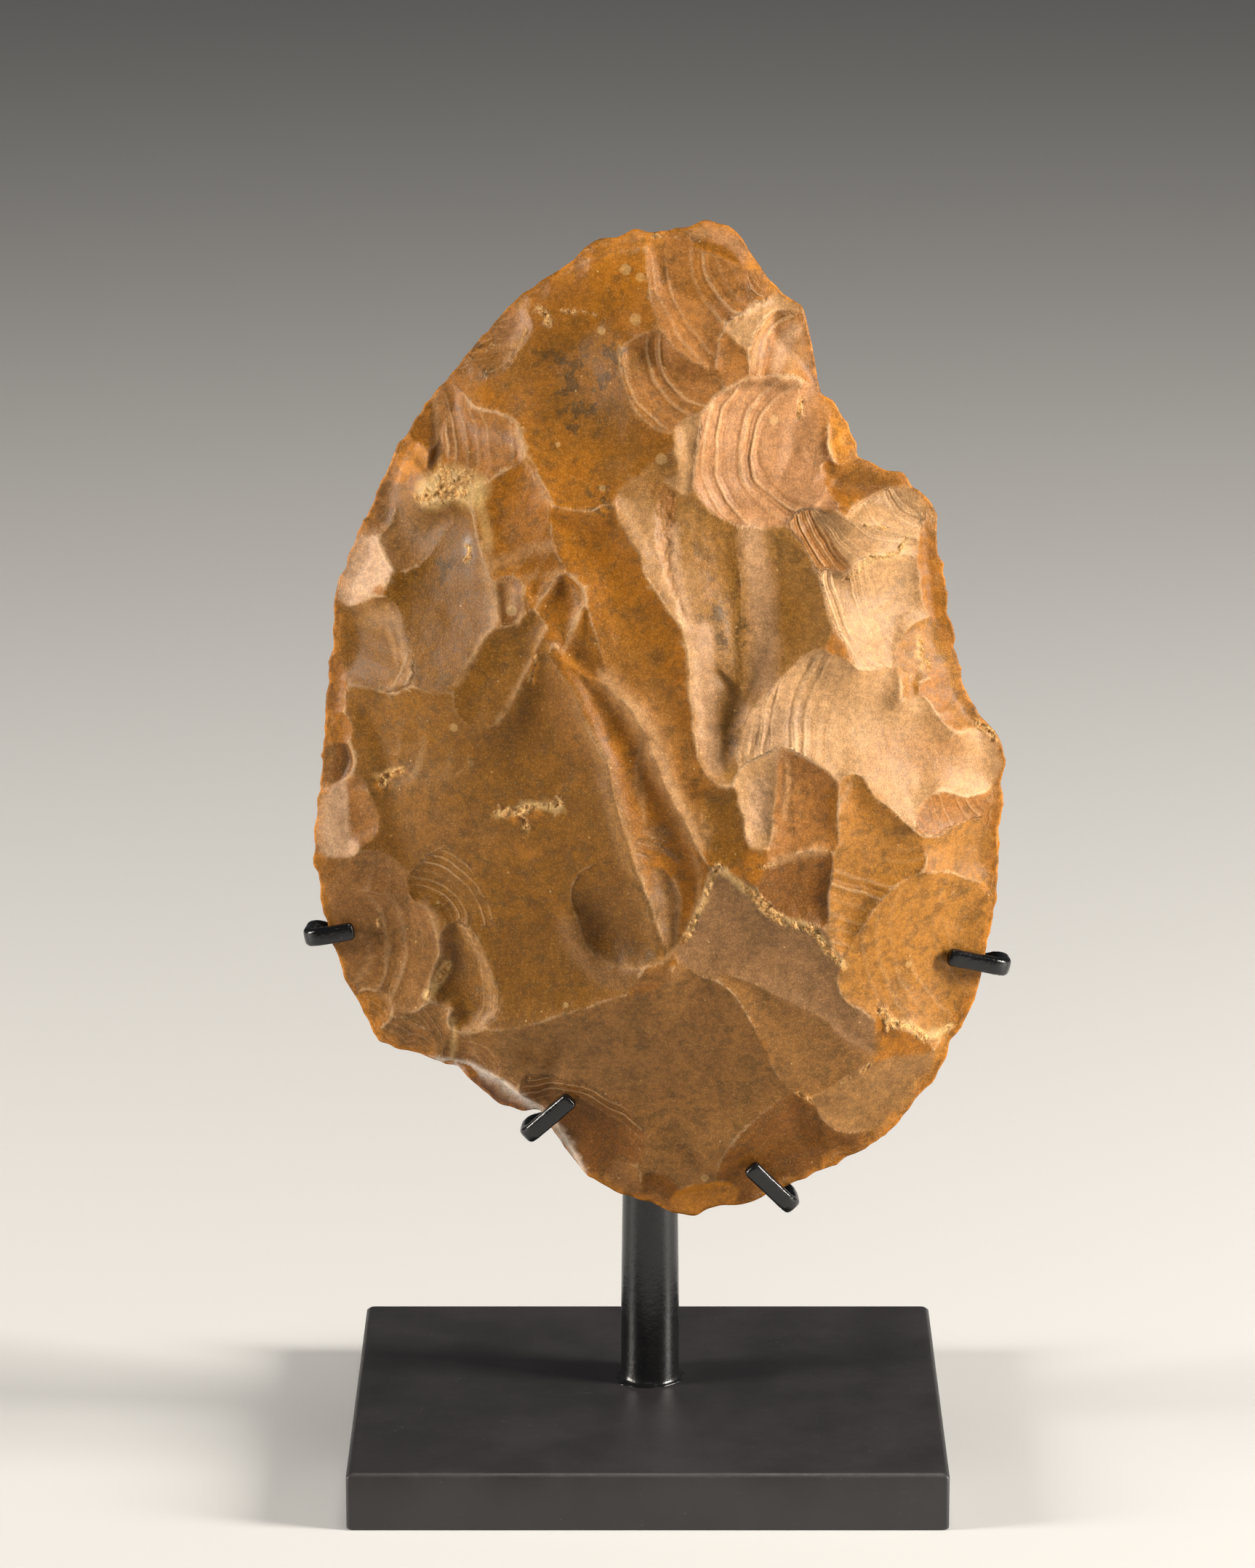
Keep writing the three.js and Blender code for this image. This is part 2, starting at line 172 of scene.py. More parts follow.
def sample(field, x, y):
    """Read a field between its grid points."""
    u = np.clip((x - LEFT) / STEP, 0, SHAPE[1] - 1.001)
    v = np.clip((y - LOW) / STEP, 0, SHAPE[0] - 1.001)
    i = u.astype(int)
    j = v.astype(int)
    fu = u - i
    fv = v - j
    low = field[j, i] * (1 - fu) + field[j, i + 1] * fu
    top = field[j + 1, i] * (1 - fu) + field[j + 1, i + 1] * fu
    return low * (1 - fv) + top * fv


def soft_min(a, b, round_mm):
    if round_mm <= 0:
        return np.minimum(a, b)
    h = np.clip(0.5 + 0.5 * (b - a) / round_mm, 0, 1)
    return b * (1 - h) + a * h - round_mm * h * (1 - h)


def blank_lens():
    """The unflaked lens: a dome that meets a bevelled edge."""
    t = np.clip(REACH / at_angle(broad_ring, ANGLE), 0, 1.3)
    dome = 1 + AXE_HALF_THICK * np.maximum(1 - t ** 2.2, 0) ** 0.85
    return soft_min(dome, EDGE_SLOPE * np.maximum(INSIDE, 0), 1.2)


BLANK = blank_lens()
LIFT_FROM = 0.8 * blur(BLANK, 3)
# How much of the lens's own curve a flake's floor follows.
CURVE_KEPT = 0.5 * BLANK
# What a flake leaves at the margin at the least: a bevel that levels out further in.
BEVEL = 6 * (1 - np.exp(-np.maximum(blur(INSIDE, 0.8), 0) / 6))
WARP_X = X + 0.16 * wobble(11, 2.4) + 0.09 * wobble(12, 0.8)
WARP_Y = Y + 0.16 * wobble(13, 2.4) + 0.09 * wobble(14, 0.8)
RIPPLE_SWING = np.clip(0.8 + 0.4 * wobble(15, 2.6), 0.15, 1.6)
RIPPLE_DRIFT = 0.55 * wobble(17, 3.5) + 0.25 * wobble(18, 1.2)
HACKLE = wobble(16, 0.35)


def lifted(points):
    """Places drawn as they look from a little above, put where they lie on the swelling face."""
    points = np.atleast_2d(np.array(points, float))
    points[:, 1] += SIGHT_SLOPE * sample(LIFT_FROM, points[:, 0], points[:, 1])
    return points


def traced(text):
    """Corners written as 'x,y x,y' in an array."""
    return lifted([[float(n) for n in pair.split(",")] for pair in text.split()])


def smooth_loop(corners, steps):
    """Closed curve through the corners."""
    ahead = np.roll(corners, -1, 0)
    long = np.linalg.norm(ahead - corners, axis=1)[:, None]
    way = (ahead - corners) / long
    long_before, way_before = np.roll(long, 1, 0), np.roll(way, 1, 0)
    run = (way * long_before + way_before * long) / (long + long_before)
    t = (np.arange(steps) / steps)[:, None, None]
    loop = ((2 * t ** 3 - 3 * t ** 2 + 1) * corners + (t ** 3 - 2 * t ** 2 + t) * run * long
            + (3 * t ** 2 - 2 * t ** 3) * ahead + (t ** 3 - t ** 2) * np.roll(run, -1, 0) * long)
    return loop.transpose(1, 0, 2).reshape(-1, 2)


def grown(loop, by):
    """The loop pushed outwards, so that neighbours meet in one sharp ridge."""
    run = np.roll(loop, -1, 0) - np.roll(loop, 1, 0)
    run /= np.maximum(np.linalg.norm(run, axis=1), 1e-6)[:, None]
    ahead = np.roll(loop, -1, 0)
    turning = np.sign(np.sum(loop[:, 0] * ahead[:, 1] - ahead[:, 0] * loop[:, 1]))
    return loop + turning * by * np.stack([run[:, 1], -run[:, 0]], 1)


def patch(points, pad):
    """The part of the grid round some points."""
    i0, i1 = np.searchsorted(columns, [points[:, 0].min() - pad, points[:, 0].max() + pad])
    j0, j1 = np.searchsorted(rows, [points[:, 1].min() - pad, points[:, 1].max() + pad])
    return slice(j0, j1), slice(i0, i1)


def line_distance(points, px, py):
    """Distance to a line through some points."""
    near = np.full(px.shape, 99.0)
    for (ax, ay), (bx, by) in zip(points[:-1], points[1:]):
        long = math.hypot(bx - ax, by - ay)
        t = np.clip(((px - ax) * (bx - ax) + (py - ay) * (by - ay)) / long ** 2, 0, 1)
        near = np.minimum(near, np.hypot(px - ax - t * (bx - ax), py - ay - t * (by - ay)))
    return near


# What keeps a rim's weights finite, and how fast a flake's floor climbs outside its rim.
RIM_SOFTENING = 0.004
CLIMB_OUTSIDE = 2.0
# The bevel a flake leaves at the margin: slope at the least, what the first ones add to it, how many
# flakes it takes to halve that, and how much chance adds.
BEVEL_LEAST, BEVEL_EARLY, BEVEL_HALVES, BEVEL_CHANCE = 0.22, 0.5, 40, 0.05
# Waves longer than this, in millimetres, are cut into the mesh. Finer ones are left to the finish.
MESH_WAVE = 1.7


class Face:
    """One face of the axe as a height field that flakes are struck off."""

    def __init__(self, shade, seed):
        self.rng = np.random.default_rng(seed)
        self.taken_off = 0
        self.height = BLANK.copy()
        self.body = np.empty(SHAPE + (3,))
        self.body[:] = SHADES[shade]
        self.crushed = np.zeros(SHAPE)
        self.wave_count = np.zeros(SHAPE)
        self.wave_lift = np.zeros(SHAPE)

    def strike(self, shade, deep, corners, hub=None, ripple=0.0, wave=2.0, near=0.0, hackle=0.0, soft=0.0,
               power=1.15, step=0.0, steps=5, grow=0.6, recolour=1.0, bevel=None):
        """Take off one flake inside an outline, levelled on the surface round its rim.
        Ripples and hackles run round and out from the hub, the point it was struck at."""
        loop = grown(smooth_loop(corners, steps), grow)
        turn, out = np.arctan2(loop[:, 1], loop[:, 0]), np.hypot(loop[:, 0], loop[:, 1])
        edge = at_angle(margin_ring, turn)
        loop = loop * np.minimum(1, edge / out)[:, None]
        ahead = np.roll(loop, -1, 0)
        rim = sample(self.height - CURVE_KEPT, loop[:, 0], loop[:, 1])
        rim = (np.roll(rim, 1) + 2 * rim + np.roll(rim, -1)) / 4
        cut = patch(loop, 0.8 + deep)
        px, py = WARP_X[cut], WARP_Y[cut]
        total, mean, inside = np.full(px.shape, 1e-9), np.zeros(px.shape), np.zeros(px.shape, bool)
        for (ax, ay), (bx, by), high, high_ahead in zip(loop, ahead, rim, np.roll(rim, -1)):
            long = math.hypot(bx - ax, by - ay)
            if long < 1e-6:
                continue
            tx, ty = (bx - ax) / long, (by - ay) / long
            dx, dy = px - ax, py - ay
            along = dx * tx + dy * ty
            off = (dx * ty - dy * tx) ** 2 + RIM_SOFTENING
            rest = long - along
            to_a, to_b = np.sqrt(along * along + off), np.sqrt(rest * rest + off)
            weight = (rest / to_b + along / to_a) / off
            climb = (high_ahead - high) / long
            total += weight
            mean += weight * (high + climb * along) + climb * (1 / to_a - 1 / to_b)
            if ay != by:
                inside ^= ((ay > py) != (by > py)) & (dx < dy * (bx - ax) / (by - ay))
        depth_in = np.sqrt(2 / total) * np.where(inside, 1, -1)
        share = np.clip(depth_in / max(depth_in.max(), 0.2), 0, 1)
        dish = deep * (1 - (1 - share) ** power)
        z = mean / total + CURVE_KEPT[cut]
        lift, waves = 0.0, 0.0
        if hub:
            hub = lifted(hub)[0]
            far = np.hypot(px - hub[0], py - hub[1])
            rim_far = np.hypot(*(loop - hub).T)
            u = np.clip((far - rim_far.min()) / (rim_far.max() - rim_far.min()), 0, 1)
            dish = dish * (1 + step * (2 * u - 1))
            if ripple:
                phase = TURN * far / wave + RIPPLE_DRIFT[cut]
                ring_strength = 0.55 + 0.3 * np.sin(0.37 * phase + 1) + 0.25 * np.sin(0.23 * phase)
                swell = (np.clip((u - near) * 4, 0, 1) * np.clip(share * 6, 0, 1) * RIPPLE_SWING[cut]
                         * ring_strength)
                lift, waves = ripple * swell, phase / TURN
                if wave > MESH_WAVE:
                    shape = (np.sin(phase) + 0.3 * np.sin(2 * phase + 0.8)
                             + 0.25 * np.sin(2.7 * phase + 3 * RIPPLE_DRIFT[cut]))
                    z = z + 0.8 * ripple * swell * shape
            if hackle:
                spread = np.arctan2(py - hub[1], px - hub[0]) * rim_far.mean()
                lines = np.sin(spread * 7 + 2 * HACKLE[cut]) + HACKLE[cut]
                z = z + hackle * lines * np.clip(share * 5, 0, 1)
        self.taken_off += 1
        bevel = bevel or (BEVEL_LEAST + BEVEL_EARLY / (1 + self.taken_off / BEVEL_HALVES)
                          + self.rng.uniform(-BEVEL_CHANCE, BEVEL_CHANCE))
        z = -soft_min(dish - z, -bevel * BEVEL[cut], 0.5) + CLIMB_OUTSIDE * np.maximum(-depth_in, 0)
        old = self.height[cut].copy()
        self.height[cut] = soft_min(old, z, soft)
        taken = np.clip((old - z) * 12, 0, 1) * inside
        self.wave_count[cut] = np.where(taken > 0, waves, self.wave_count[cut])
        self.wave_lift[cut] = self.wave_lift[cut] * (1 - taken) + taken * lift
        taken = taken[..., None] * recolour
        self.body[cut] = self.body[cut] * (1 - taken) + taken * SHADES[shade]

    def swell(self, width, rise, points):
        """A soft rounded ridge left along a line."""
        points = traced(points)
        cut = patch(points, 3 * width)
        near = line_distance(points, WARP_X[cut], WARP_Y[cut])
        self.height[cut] += rise * np.exp(-(near / width) ** 2)

    def crush(self, width, points):
        """A ragged line of crumbled steps."""
        points = traced(points)
        cut = patch(points, 3)
        ragged = width * 0.5 * (1 + 0.6 * STAIN[cut] + 0.3 * CRUMBLE[cut])
        mask = np.clip((ragged - line_distance(points, WARP_X[cut], WARP_Y[cut])) / 0.12, 0, 1)
        self.crushed[cut] = np.maximum(self.crushed[cut], mask)
        self.height[cut] += mask * (0.2 * CRUMBLE[cut] - 0.15)

    def tint(self, shade, amount, width, soft, points):
        """Colour along a line, fading out at its sides. Some lines are the stone's own colour, some painted
        shadow and painted highlights.
        """
        points = traced(points)
        cut = patch(points, width / 2 + 2 * soft)
        near = line_distance(points, WARP_X[cut], WARP_Y[cut])
        share = amount * np.clip((width / 2 - near) / soft + 1, 0, 1)[..., None]
        self.body[cut] += (SHADES[shade] - self.body[cut]) * share

    def wash(self, shade, amount, x, y, wide, high, tilt=0.0):
        """A soft patch of another shade. Most are stains in the stone; pale ones on lit walls are painted
        highlights.
        """
        c, d = math.cos(math.radians(tilt)), math.sin(math.radians(tilt))
        x, y = lifted((x, y))[0]
        u = ((X - x) * c + (Y - y) * d) / wide
        v = ((Y - y) * c - (X - x) * d) / high
        share = amount * np.clip(1.3 - np.hypot(u, v) + 0.16 * STAIN, 0, 1)[..., None]
        self.body += (SHADES[shade] - self.body) * np.minimum(share, amount)

    def finish(self):
        self.height = np.maximum(self.height, 0.03 * BLANK)


CRUMBLE = wobble(19, 0.28)
STAIN = wobble(20, 1.2) + 0.5 * wobble(23, 0.4)

# Flakes off the front, oldest first: shade, depth, outline (right,up), and what else shows on each.
FRONT_FLAKES = {
    # old broad faces
    "crown_plain": ("amber", 2.2, "-38,57 -29,68 -22,75 -12,83 -2,84 4,76 3,66 -2,60 -1,52 4,47 4,40"
        " 0,37 -5,35.6 -10,35.4 -14.5,36 -17,39.5 -20.5,45.2 -22,50.5 -28,53", {}),
    "tip_left": ("amber", 1.1, "-21,74 -11,82.5 -3,86 2,85 .8,77 1,71 2.5,66 0,63.3 -3,62 -5.5,66"
        " -8,68.3 -12,69.3 -17,70", {}),
    "basin": ("olive", 3.4, "-58,-12 -57,4 -44,8 -34,7 -25,2.5 -21,9 -17.3,15.3 -13,10 -9.5,2 -6.5,-7"
        " -4.5,-16 -2.5,-27 0,-35 -2,-40 -6,-44.7 -15,-48 -25,-50.3 -35,-48 -48,-47 -58,-30",
        dict(power=2.0)),
    "faint_arcs": ("olive", 0.25, "-44,8 -38,9 -33,8 -29,4 -27,0 -28,-5 -33,-8 -42,-8 -46,0",
        dict(hub=(-50, 0), ripple=0.05, wave=4.2)),
    "butt_plain": ("brown", 2.7, "-25,-50.5 -15,-48 -6,-44.8 0,-43.5 4,-41 6.5,-37.5 10,-40 14,-43.5"
        " 17,-50 20,-55 25,-60 20,-63.5 15.5,-67 14,-70 15,-83 0,-84 -12,-78 -18,-67 -26,-60 -33,-57.5"
        " -32,-50.5", dict(power=1.2)),
    "corner_plain": ("brown", 1.5, "-52,-41 -49,-42.2 -45,-43 -42,-46 -39,-46.8 -35,-45.6 -32.8,-46"
        " -31.8,-49 -32,-53 -33,-57.5 -40,-57.5 -47,-56", dict(hub=(-52, -58), ripple=0.03, wave=1.0)),
    "corner_strip": ("brown", 0.8, "-32,-50.3 -28.5,-50.2 -25,-50.7 -24,-54 -23,-59 -26,-61 -33,-57.5",
        {}),
    "bulb_trough": ("deep", 1.7, "-15.5,14 -12.5,8 -10,3 -8,-1.5 -6,-6.5 -4.8,-11 -3.2,-16 -2,-20"
        " -.5,-24.5 1,-29 1.8,-33 2.5,-37 5.5,-36 8,-31 10.5,-26 11.5,-22 9,-18 6.5,-13 4,-8 2,-3 0,1"
        " -3,6 -6,9 -9.5,11 -12,14", dict(soft=1.0, grow=0)),
    "bulb_sliver": ("deep", 0.5, "0,0 -1.2,-3 -1.8,-8 -1.2,-12 -.5,-14.5 1,-15.3 4,-14.5 6,-14 4,-9.5"
        " 2,-4", {}),
    "bulb_shell": ("brown", 0.9, "-1.5,-17.5 0,-15.8 2,-15.4 4.5,-16.4 7,-19.5 8.7,-23 8.9,-26 8,-29"
        " 6.8,-32 5,-36 3.3,-37 1.5,-34 .5,-28 -1,-22", dict(hub=(-5, -30), ripple=0.1, wave=2.3)),
    "bulb_inner": ("brown", 0.5, ".8,-22 2.8,-22.6 4.3,-25 4.9,-29 4.7,-33 5,-35.6 3.4,-36.8 1.8,-36"
        " .8,-30 .3,-25", dict(grow=0, hub=(-8, -28), step=0.3)),
    "spoon": ("olive", 1.3, "-12.5,-27 -11.5,-31 -9.8,-35.3 -8,-37.8 -6,-38.6 -3,-38.8 0,-38.2 3,-37"
        " 1.5,-33 .2,-28 -2,-24 -5,-21.5 -9,-22", dict(hub=(-5, -12), step=0.95, soft=0.9, grow=0)),
    "long_panel": ("amber", 2.2, "-16.5,36.6 -14,36 -10,35.6 -4.6,36.6 -2,34 0,30 4,24 9,18 9,12 9,5"
        " 10,0 12,-5 12,-9 10.5,-14 11,-19 11,-22 9,-19 7.5,-16 5.5,-12.5 4,-9.5 3,-6.5 1.5,-3 .3,0"
        " -1,2.5 -2.5,5 -4.5,6.5 -6,8 -7.5,9.3 -8,12.5 -8.7,15.5 -9.5,18.5 -10.3,22 -11.5,25 -14,26.3"
        " -15.5,30 -16.3,34", {}),
    "great_flute": ("pale_olive", 3.8, "20,48 12,48 6,46 2,44 -1,41 -4.4,38.6 -4.3,36 -3,33 -1,29.5 0,26"
        " 1.5,23.5 4,20 6,17.5 7,14 7.3,10 7.5,5 7.8,1 8.4,-1 9,-4 10,-6.5 11.5,-8 13,-8.6 15,-7 15.5,-3"
        " 17,3 21,7 27,12.5 30,20 30,28 31,36 28,44", dict(power=1.6)),
    "hackle_wall": ("rose", 0.5, "-4.4,38.6 -2,40 2,40 5,38 4.4,33 4.1,27 5,22 6.6,17.6 4,20 1.5,23.5"
        " 0,26 -1,29.5 -3,33", dict(hub=(8, 52), hackle=0.07, grow=0.2)),
    "flute_left": ("pale_olive", 1.0, "5,38 9,37 13,35.5 15,33 15.2,26 15.5,18 15.3,10 15.4,4 15.2,-1"
        " 14,-6 12.3,-8 11,-5 10.6,2 10.6,12 9,18 6.6,17.6 5,22 4.1,27 4.4,33",
        dict(hub=(10, 48), hackle=0.02, soft=0.2, grow=0.2)),
    "flute_right": ("pale_olive", 0.9, "15.2,33 20,33.5 24,33 28,28 29.5,22 28,16 25,12 20,8 17,4 15.8,3"
        " 15.4,10 15.5,18 15.2,26", dict(hub=(20, 48), hackle=0.02, soft=0.3, grow=0.1)),
    "flute_tongue": ("pale_olive", 0.8, "11,10 13,9 15.2,6 15.4,0 15,-4 13.8,-7.5 12.8,-8.4 11.3,-7"
        " 11,-2 10.6,4", dict(hub=(8, 0), step=0.4, grow=0)),
    "panel_foot": ("olive", 0.7, "9.4,-10 14,-9 15.5,-7 15.7,-14 16,-18.5 15,-20.5 11.5,-21.5 10,-18.5"
        " 9.3,-14", {}),
    # crown
    "below_tip": ("rose", 2.4, "-3.8,62.5 -3.6,58 -2,54 0,51 3,49.6 6,51 9,53.5 12,56 13,60 10,60.5"
        " 5,62.5 2,65 -1,64", dict(hub=(12, 64), ripple=0.06, wave=2.0, near=0.3)),
    "tip_flute": ("rose", 2.7, ".8,80.3 .4,76 1,71 2.5,66 5,63 8,61 11,60 12.5,62.5 13.5,66 17,69.5"
        " 18,72 15.5,76.5 12.5,78 10,81 8.5,84.8 3,84.5",
        dict(hub=(20, 78), ripple=0.07, wave=2.1, near=0.1)),
    "tip_pink": ("pink", 0.9, "9,85 10,80.5 12,78 14.5,76.6 16,76.8 17,79 15,84 12,86", {}),
    "tip_nick": ("orange", 0.5, "15.5,76.6 18,76 20,77 16.5,81.5 15.2,79", {}),
    "tip_small": ("rose", 0.7, "16,76.5 16,73 17.5,70.8 19.5,70 20.3,72 20.8,75.5 19,77",
        dict(hub=(21, 77), ripple=0.07, wave=1.1)),
    "amber_gap": ("rose", 0.5, "12,60 13,65.5 16,63 17,58.5 16,57 13,57", {}),
    "fan_patch": ("pale", 0.5, "13,66 15,67.5 18.5,69.8 20,69 18.5,66.5 17,63 15,64",
        dict(hub=(21, 71), hackle=0.05)),
    "white_chip": ("pale", 0.7, "19.5,68.2 20,71 22.3,73.2 26.5,70.8 26,69 23,68.3 20.5,67.6", {}),
    "crescent": ("rose", 2.2, "17,59 17,62 18.5,65.5 20.5,68 24,69 27,69.5 28.5,62 29.5,57 26,56 23.5,57"
        " 21,57.4 18.5,56.5", dict(hub=(31, 58), ripple=0.09, wave=2.5, near=0.1, step=0.5)),
    # right shoulder
    "shell": ("pink", 3.7, "16,57.3 12,55 9,51.5 7.3,47 7.4,42 9,38 12,35 16,33.8 21,33.6 24,34 27,36"
        " 31,36.5 34,37 37,39 41,40.8 44.5,42 41,45.5 36,47 31,45 30,49 27,53 25.5,55.5 24,57.2"
        " 20.5,57.7", dict(hub=(27.5, 46.5), ripple=0.12, wave=2.0, near=0.2)),
    "shell_ledge": ("pale", 0.3, "5.2,50 7.5,51 7.3,47 7,42 6.3,38.8 5,39.5 3.3,41.5 4.6,43.5 4.9,47",
        {}),
    "brown_dish": ("amber", 1.6, "29,44.5 31,44 34,46 37,46 40,44 44,44 41,40.7 37,38.7 34,36.5 31,37.5"
        " 29.5,40", {}),
    "pink_facet": ("pink", 0.8, "25.5,56.5 28,57.5 30.5,55.5 30,50 30.5,45.5 27,44.5 25,47 25,51",
        dict(hub=(30, 58), ripple=0.03, wave=1.2)),
    "orange_chip": ("orange", 1.1, "30,55.6 32,54.5 34.8,51 35,46 33,45 31.5,44 30.3,46 30,50.5",
        dict(hackle=0.04, hub=(34, 58))),
    "terrace": ("pale", 1.1, "26.5,35.5 30,35 34,34.8 37,35 42,33 44.5,30 43,28 39,27.5 35,28 31,25.5"
        " 28.5,28 25,33", dict(hub=(44, 46), ripple=0.05, wave=1.3, step=0.4)),
    "layered_strip": ("rose", 0.7, "23.5,33.8 26,35.5 28.5,33 30.5,29 32.3,26.8 31.8,24.7 29,25 27,28"
        " 25,31.5", dict(hub=(46, 44), ripple=0.12, wave=1.25)),
    "fan_flake": ("pale", 1.1, "33.2,35.5 35.5,38 39,39.8 42,40.6 45.5,41 48.5,37 49,33 44,32.5 39,33.5"
        " 36,35", dict(hub=(47, 43), ripple=0.08, wave=1.5)),
    "ripple_slab": ("pale", 1.9, "29,26 29.2,21 30.5,17 33,13 36,10 40.3,9.6 41.5,13 43,16.5 46.5,18.3"
        " 45,23 43,28 39,28 35,28 31.5,25.5", dict(hub=(48, 27), ripple=0.2, wave=1.35, near=0.45)),
    "right_bevel": ("amber", 1.0, "45.3,40 49,38 50,30 51.3,22 53,13 49.5,14.8 46.8,18.3 45.2,23 44.8,29"
        " 45.2,34", {}),
    "right_fold": ("honey", 0.9, "43.2,16.5 46.5,18 49.5,15 51.5,13 51,8 54,4 56,1 52,-1 50,-.5 48,2"
        " 46.5,5.5 44.5,9 42.5,4 41,8 40.6,12", dict(hub=(50, 20), ripple=0.04, wave=2.0)),
    "pale_field": ("pale", 2.0, "21.5,8 27,13 31,12 35,9.8 40,10 41,5 44,6 47,2 51,-1 54,0 59,1 60.5,-6"
        " 56,-9.5 51,-11 47.5,-9.8 46,-12.5 43,-14.5 40,-13 36,-10.5 33.5,-7 31,-8.3 28,-6.5 24,-4.5"
        " 22,-2.7 18,-4.5 15.5,-6 15.2,-2 17,3",
        dict(hub=(60, -2), ripple=0.1, wave=1.9, near=0.62, hackle=0.015)),
    "right_lobe": ("pale", 0.6, "50.5,-1 54,-.3 59.5,0 60.8,-6 59,-9.5 55,-9 52,-9.6 50,-7 49.5,-3.5",
        dict(hub=(62, -3), ripple=0.03, wave=1.6)),
    "edge_tile": ("rose", 0.7, "46.5,-11 48,-10.5 52,-11.3 56,-10.5 60.5,-10 60,-14.5 55,-15 50,-16.3"
        " 46,-17.8 44.5,-16.5 44.8,-13", dict(step=0.25, hub=(60, -8), ripple=0.04, wave=1.5)),
    "edge_bay": ("honey", 1.0, "41,-14.5 44,-17.3 46,-18 50,-16.4 55,-15 60,-15 59.5,-25 55,-25.8 52,-25"
        " 48,-23.3 44.5,-20.5", dict(step=0.3, hub=(62, -14))),
    "amber_sail": ("honey", 1.5, "31,-8.5 33.5,-7 36.5,-10.8 40,-13.5 43,-17 45,-21 43,-24.3 40,-26"
        " 37,-29.8 34,-35 32.2,-38.5 30,-35 28.7,-31 29,-26 29.2,-20 30,-13",
        dict(hub=(44, 4), step=0.3, ripple=0.04, wave=2.2)),
    "window_left": ("pale", 1.2, "15.6,-6 18,-4.5 21.6,-3 21.3,-10 20.6,-16 19.6,-17.8 17.3,-18 16.2,-14",
        dict(hub=(14, -2), step=0.3, hackle=0.02)),
    "window_right": ("rose", 1.1, "21.6,-3 26,-5 30,-8 30.2,-13 29.5,-19.5 25,-20 20.4,-21.6 20.6,-17"
        " 21.3,-10", dict(hub=(27, 30), hackle=0.022)),
    "dark_window": ("amber_brown", 1.1, "20.5,-21.5 25,-20 29,-20 28.8,-27 28.5,-31.5 25,-31.2"
        " 19.5,-29.5 18,-27 19,-24", dict(hub=(26, 10), step=0.3, hackle=0.02)),
    # butt
    "brown_wedge": ("grey_brown", 1.0, "11,-22.5 13,-23.3 17,-25.5 19,-29.3 24,-31.5 28.5,-33 30,-36.5"
        " 32,-39 32,-42 34.5,-46 38,-48 38.5,-52 38,-55.5 33,-52 27,-47 20,-43.5 14,-41 9,-39.8"
        " 5.5,-36.5 6,-34 8,-31 9.5,-27", {}),
    "lower_wedge": ("brown", 0.55, "12,-40.5 16,-41.5 20,-43.7 27,-47.2 33,-52.2 38,-55.5 33,-57 28,-60"
        " 25,-60.3 20.5,-54 17,-47 14.5,-43", dict(hub=(40, -60), step=0.5)),
    "right_bay": ("honey", 1.8, "40.5,-26 44,-24 48,-23.5 52,-25 55,-26 60,-25.5 59,-38 55,-48"
        " 50.5,-50.5 46,-52 43,-50 40,-49 36,-46.5 32.5,-43.7 31.6,-40.5 33,-37 37,-30.5",
        dict(hub=(62, -32), step=0.3, ripple=0.025, wave=2.4)),
    "bay_chip": ("honey", 0.5, "47,-27 51,-26 55,-27 54.5,-30 51.5,-33.7 49,-31.5 46.8,-29.5",
        dict(step=0.2, hub=(54, -24))),
    "bay_below": ("amber", 0.35, "38.5,-48 40,-50 43.5,-51 46,-52.8 47,-55 40,-55.7 37.5,-55.5 38,-51.5",
        {}),
    "edge_strip": ("honey", 0.7, "50.5,-51 55,-48 58,-38 57,-50 50,-61 47.5,-58 47.5,-55.3 48.5,-53", {}),
    "leaf": ("grey_rose", 1.2, "26.8,-62 30,-60 35,-57 40,-55.6 44,-55.2 47.9,-55.2 48,-58 46.5,-61.5"
        " 42.5,-66.8 36,-67.9 31,-67.2 28,-65", dict(hub=(50, -55), step=0.3)),
    "dark_wedge": ("amber_brown", 1.2, "14,-70 16,-67 20,-63.7 25,-60.8 27,-62.3 28.3,-65.3 31,-67.5"
        " 37,-68.2 43,-68 36,-73 27,-78 15,-83 12,-76", {}),
    "butt_shell": ("amber_brown", 1.4, "-20,-58.5 -13,-59.8 -7,-61.8 -2.5,-65.5 -.5,-70 -3,-74 -10,-75.5"
        " -15,-74 -19,-67", dict(hub=(-15, -79), ripple=0.15, wave=1.15, near=0.62)),
    "butt_rose": ("rose_brown", 0.7, "-13,-73.5 -8,-71.5 -4,-73 0,-77.5 -4,-81 -9,-80 -14,-76", {}),
    "butt_nick_a": ("amber_brown", 0.7, "-5,-80 -3,-77.5 .5,-79.5 0,-83 -4,-82.5", {}),
    "butt_nick_b": ("amber_brown", 0.7, "0,-75 4,-76.5 5,-80 3,-84 0,-82 -.5,-78", {}),
    "butt_chip": ("orange", 1.1, "4.3,-79.3 7.5,-77.5 11,-77 15,-78 13.5,-81 9,-84 5,-83.5", {}),
    # lower left margin
    "rose_fan": ("rose_brown", 1.2, "-58,-21 -50,-20.8 -44,-21.5 -40,-24.3 -38.5,-27 -40,-29 -45,-28"
        " -50,-28.5 -56,-30", dict(hub=(-59, -22), ripple=0.05, wave=2.6)),
    "round_left": ("rose_brown", 1.6, "-54,-27 -47,-27.5 -42,-28.5 -38,-29 -35.5,-31 -34,-34.5"
        " -33.8,-38.5 -35.5,-43 -39,-46.7 -42,-46 -45,-43 -51,-42.5 -56,-36",
        dict(hub=(-57, -36), ripple=0.06, wave=2.7, near=0.3)),
    "arc_shell": ("olive", 1.1, "-39,-26 -36,-22 -33.5,-20.8 -30.5,-22 -28,-25 -26.3,-29 -26,-32.5"
        " -29,-33 -31.5,-34 -33,-32 -35,-30 -38,-28.8", dict(hub=(-37.5, -33), ripple=0.09, wave=1.3)),
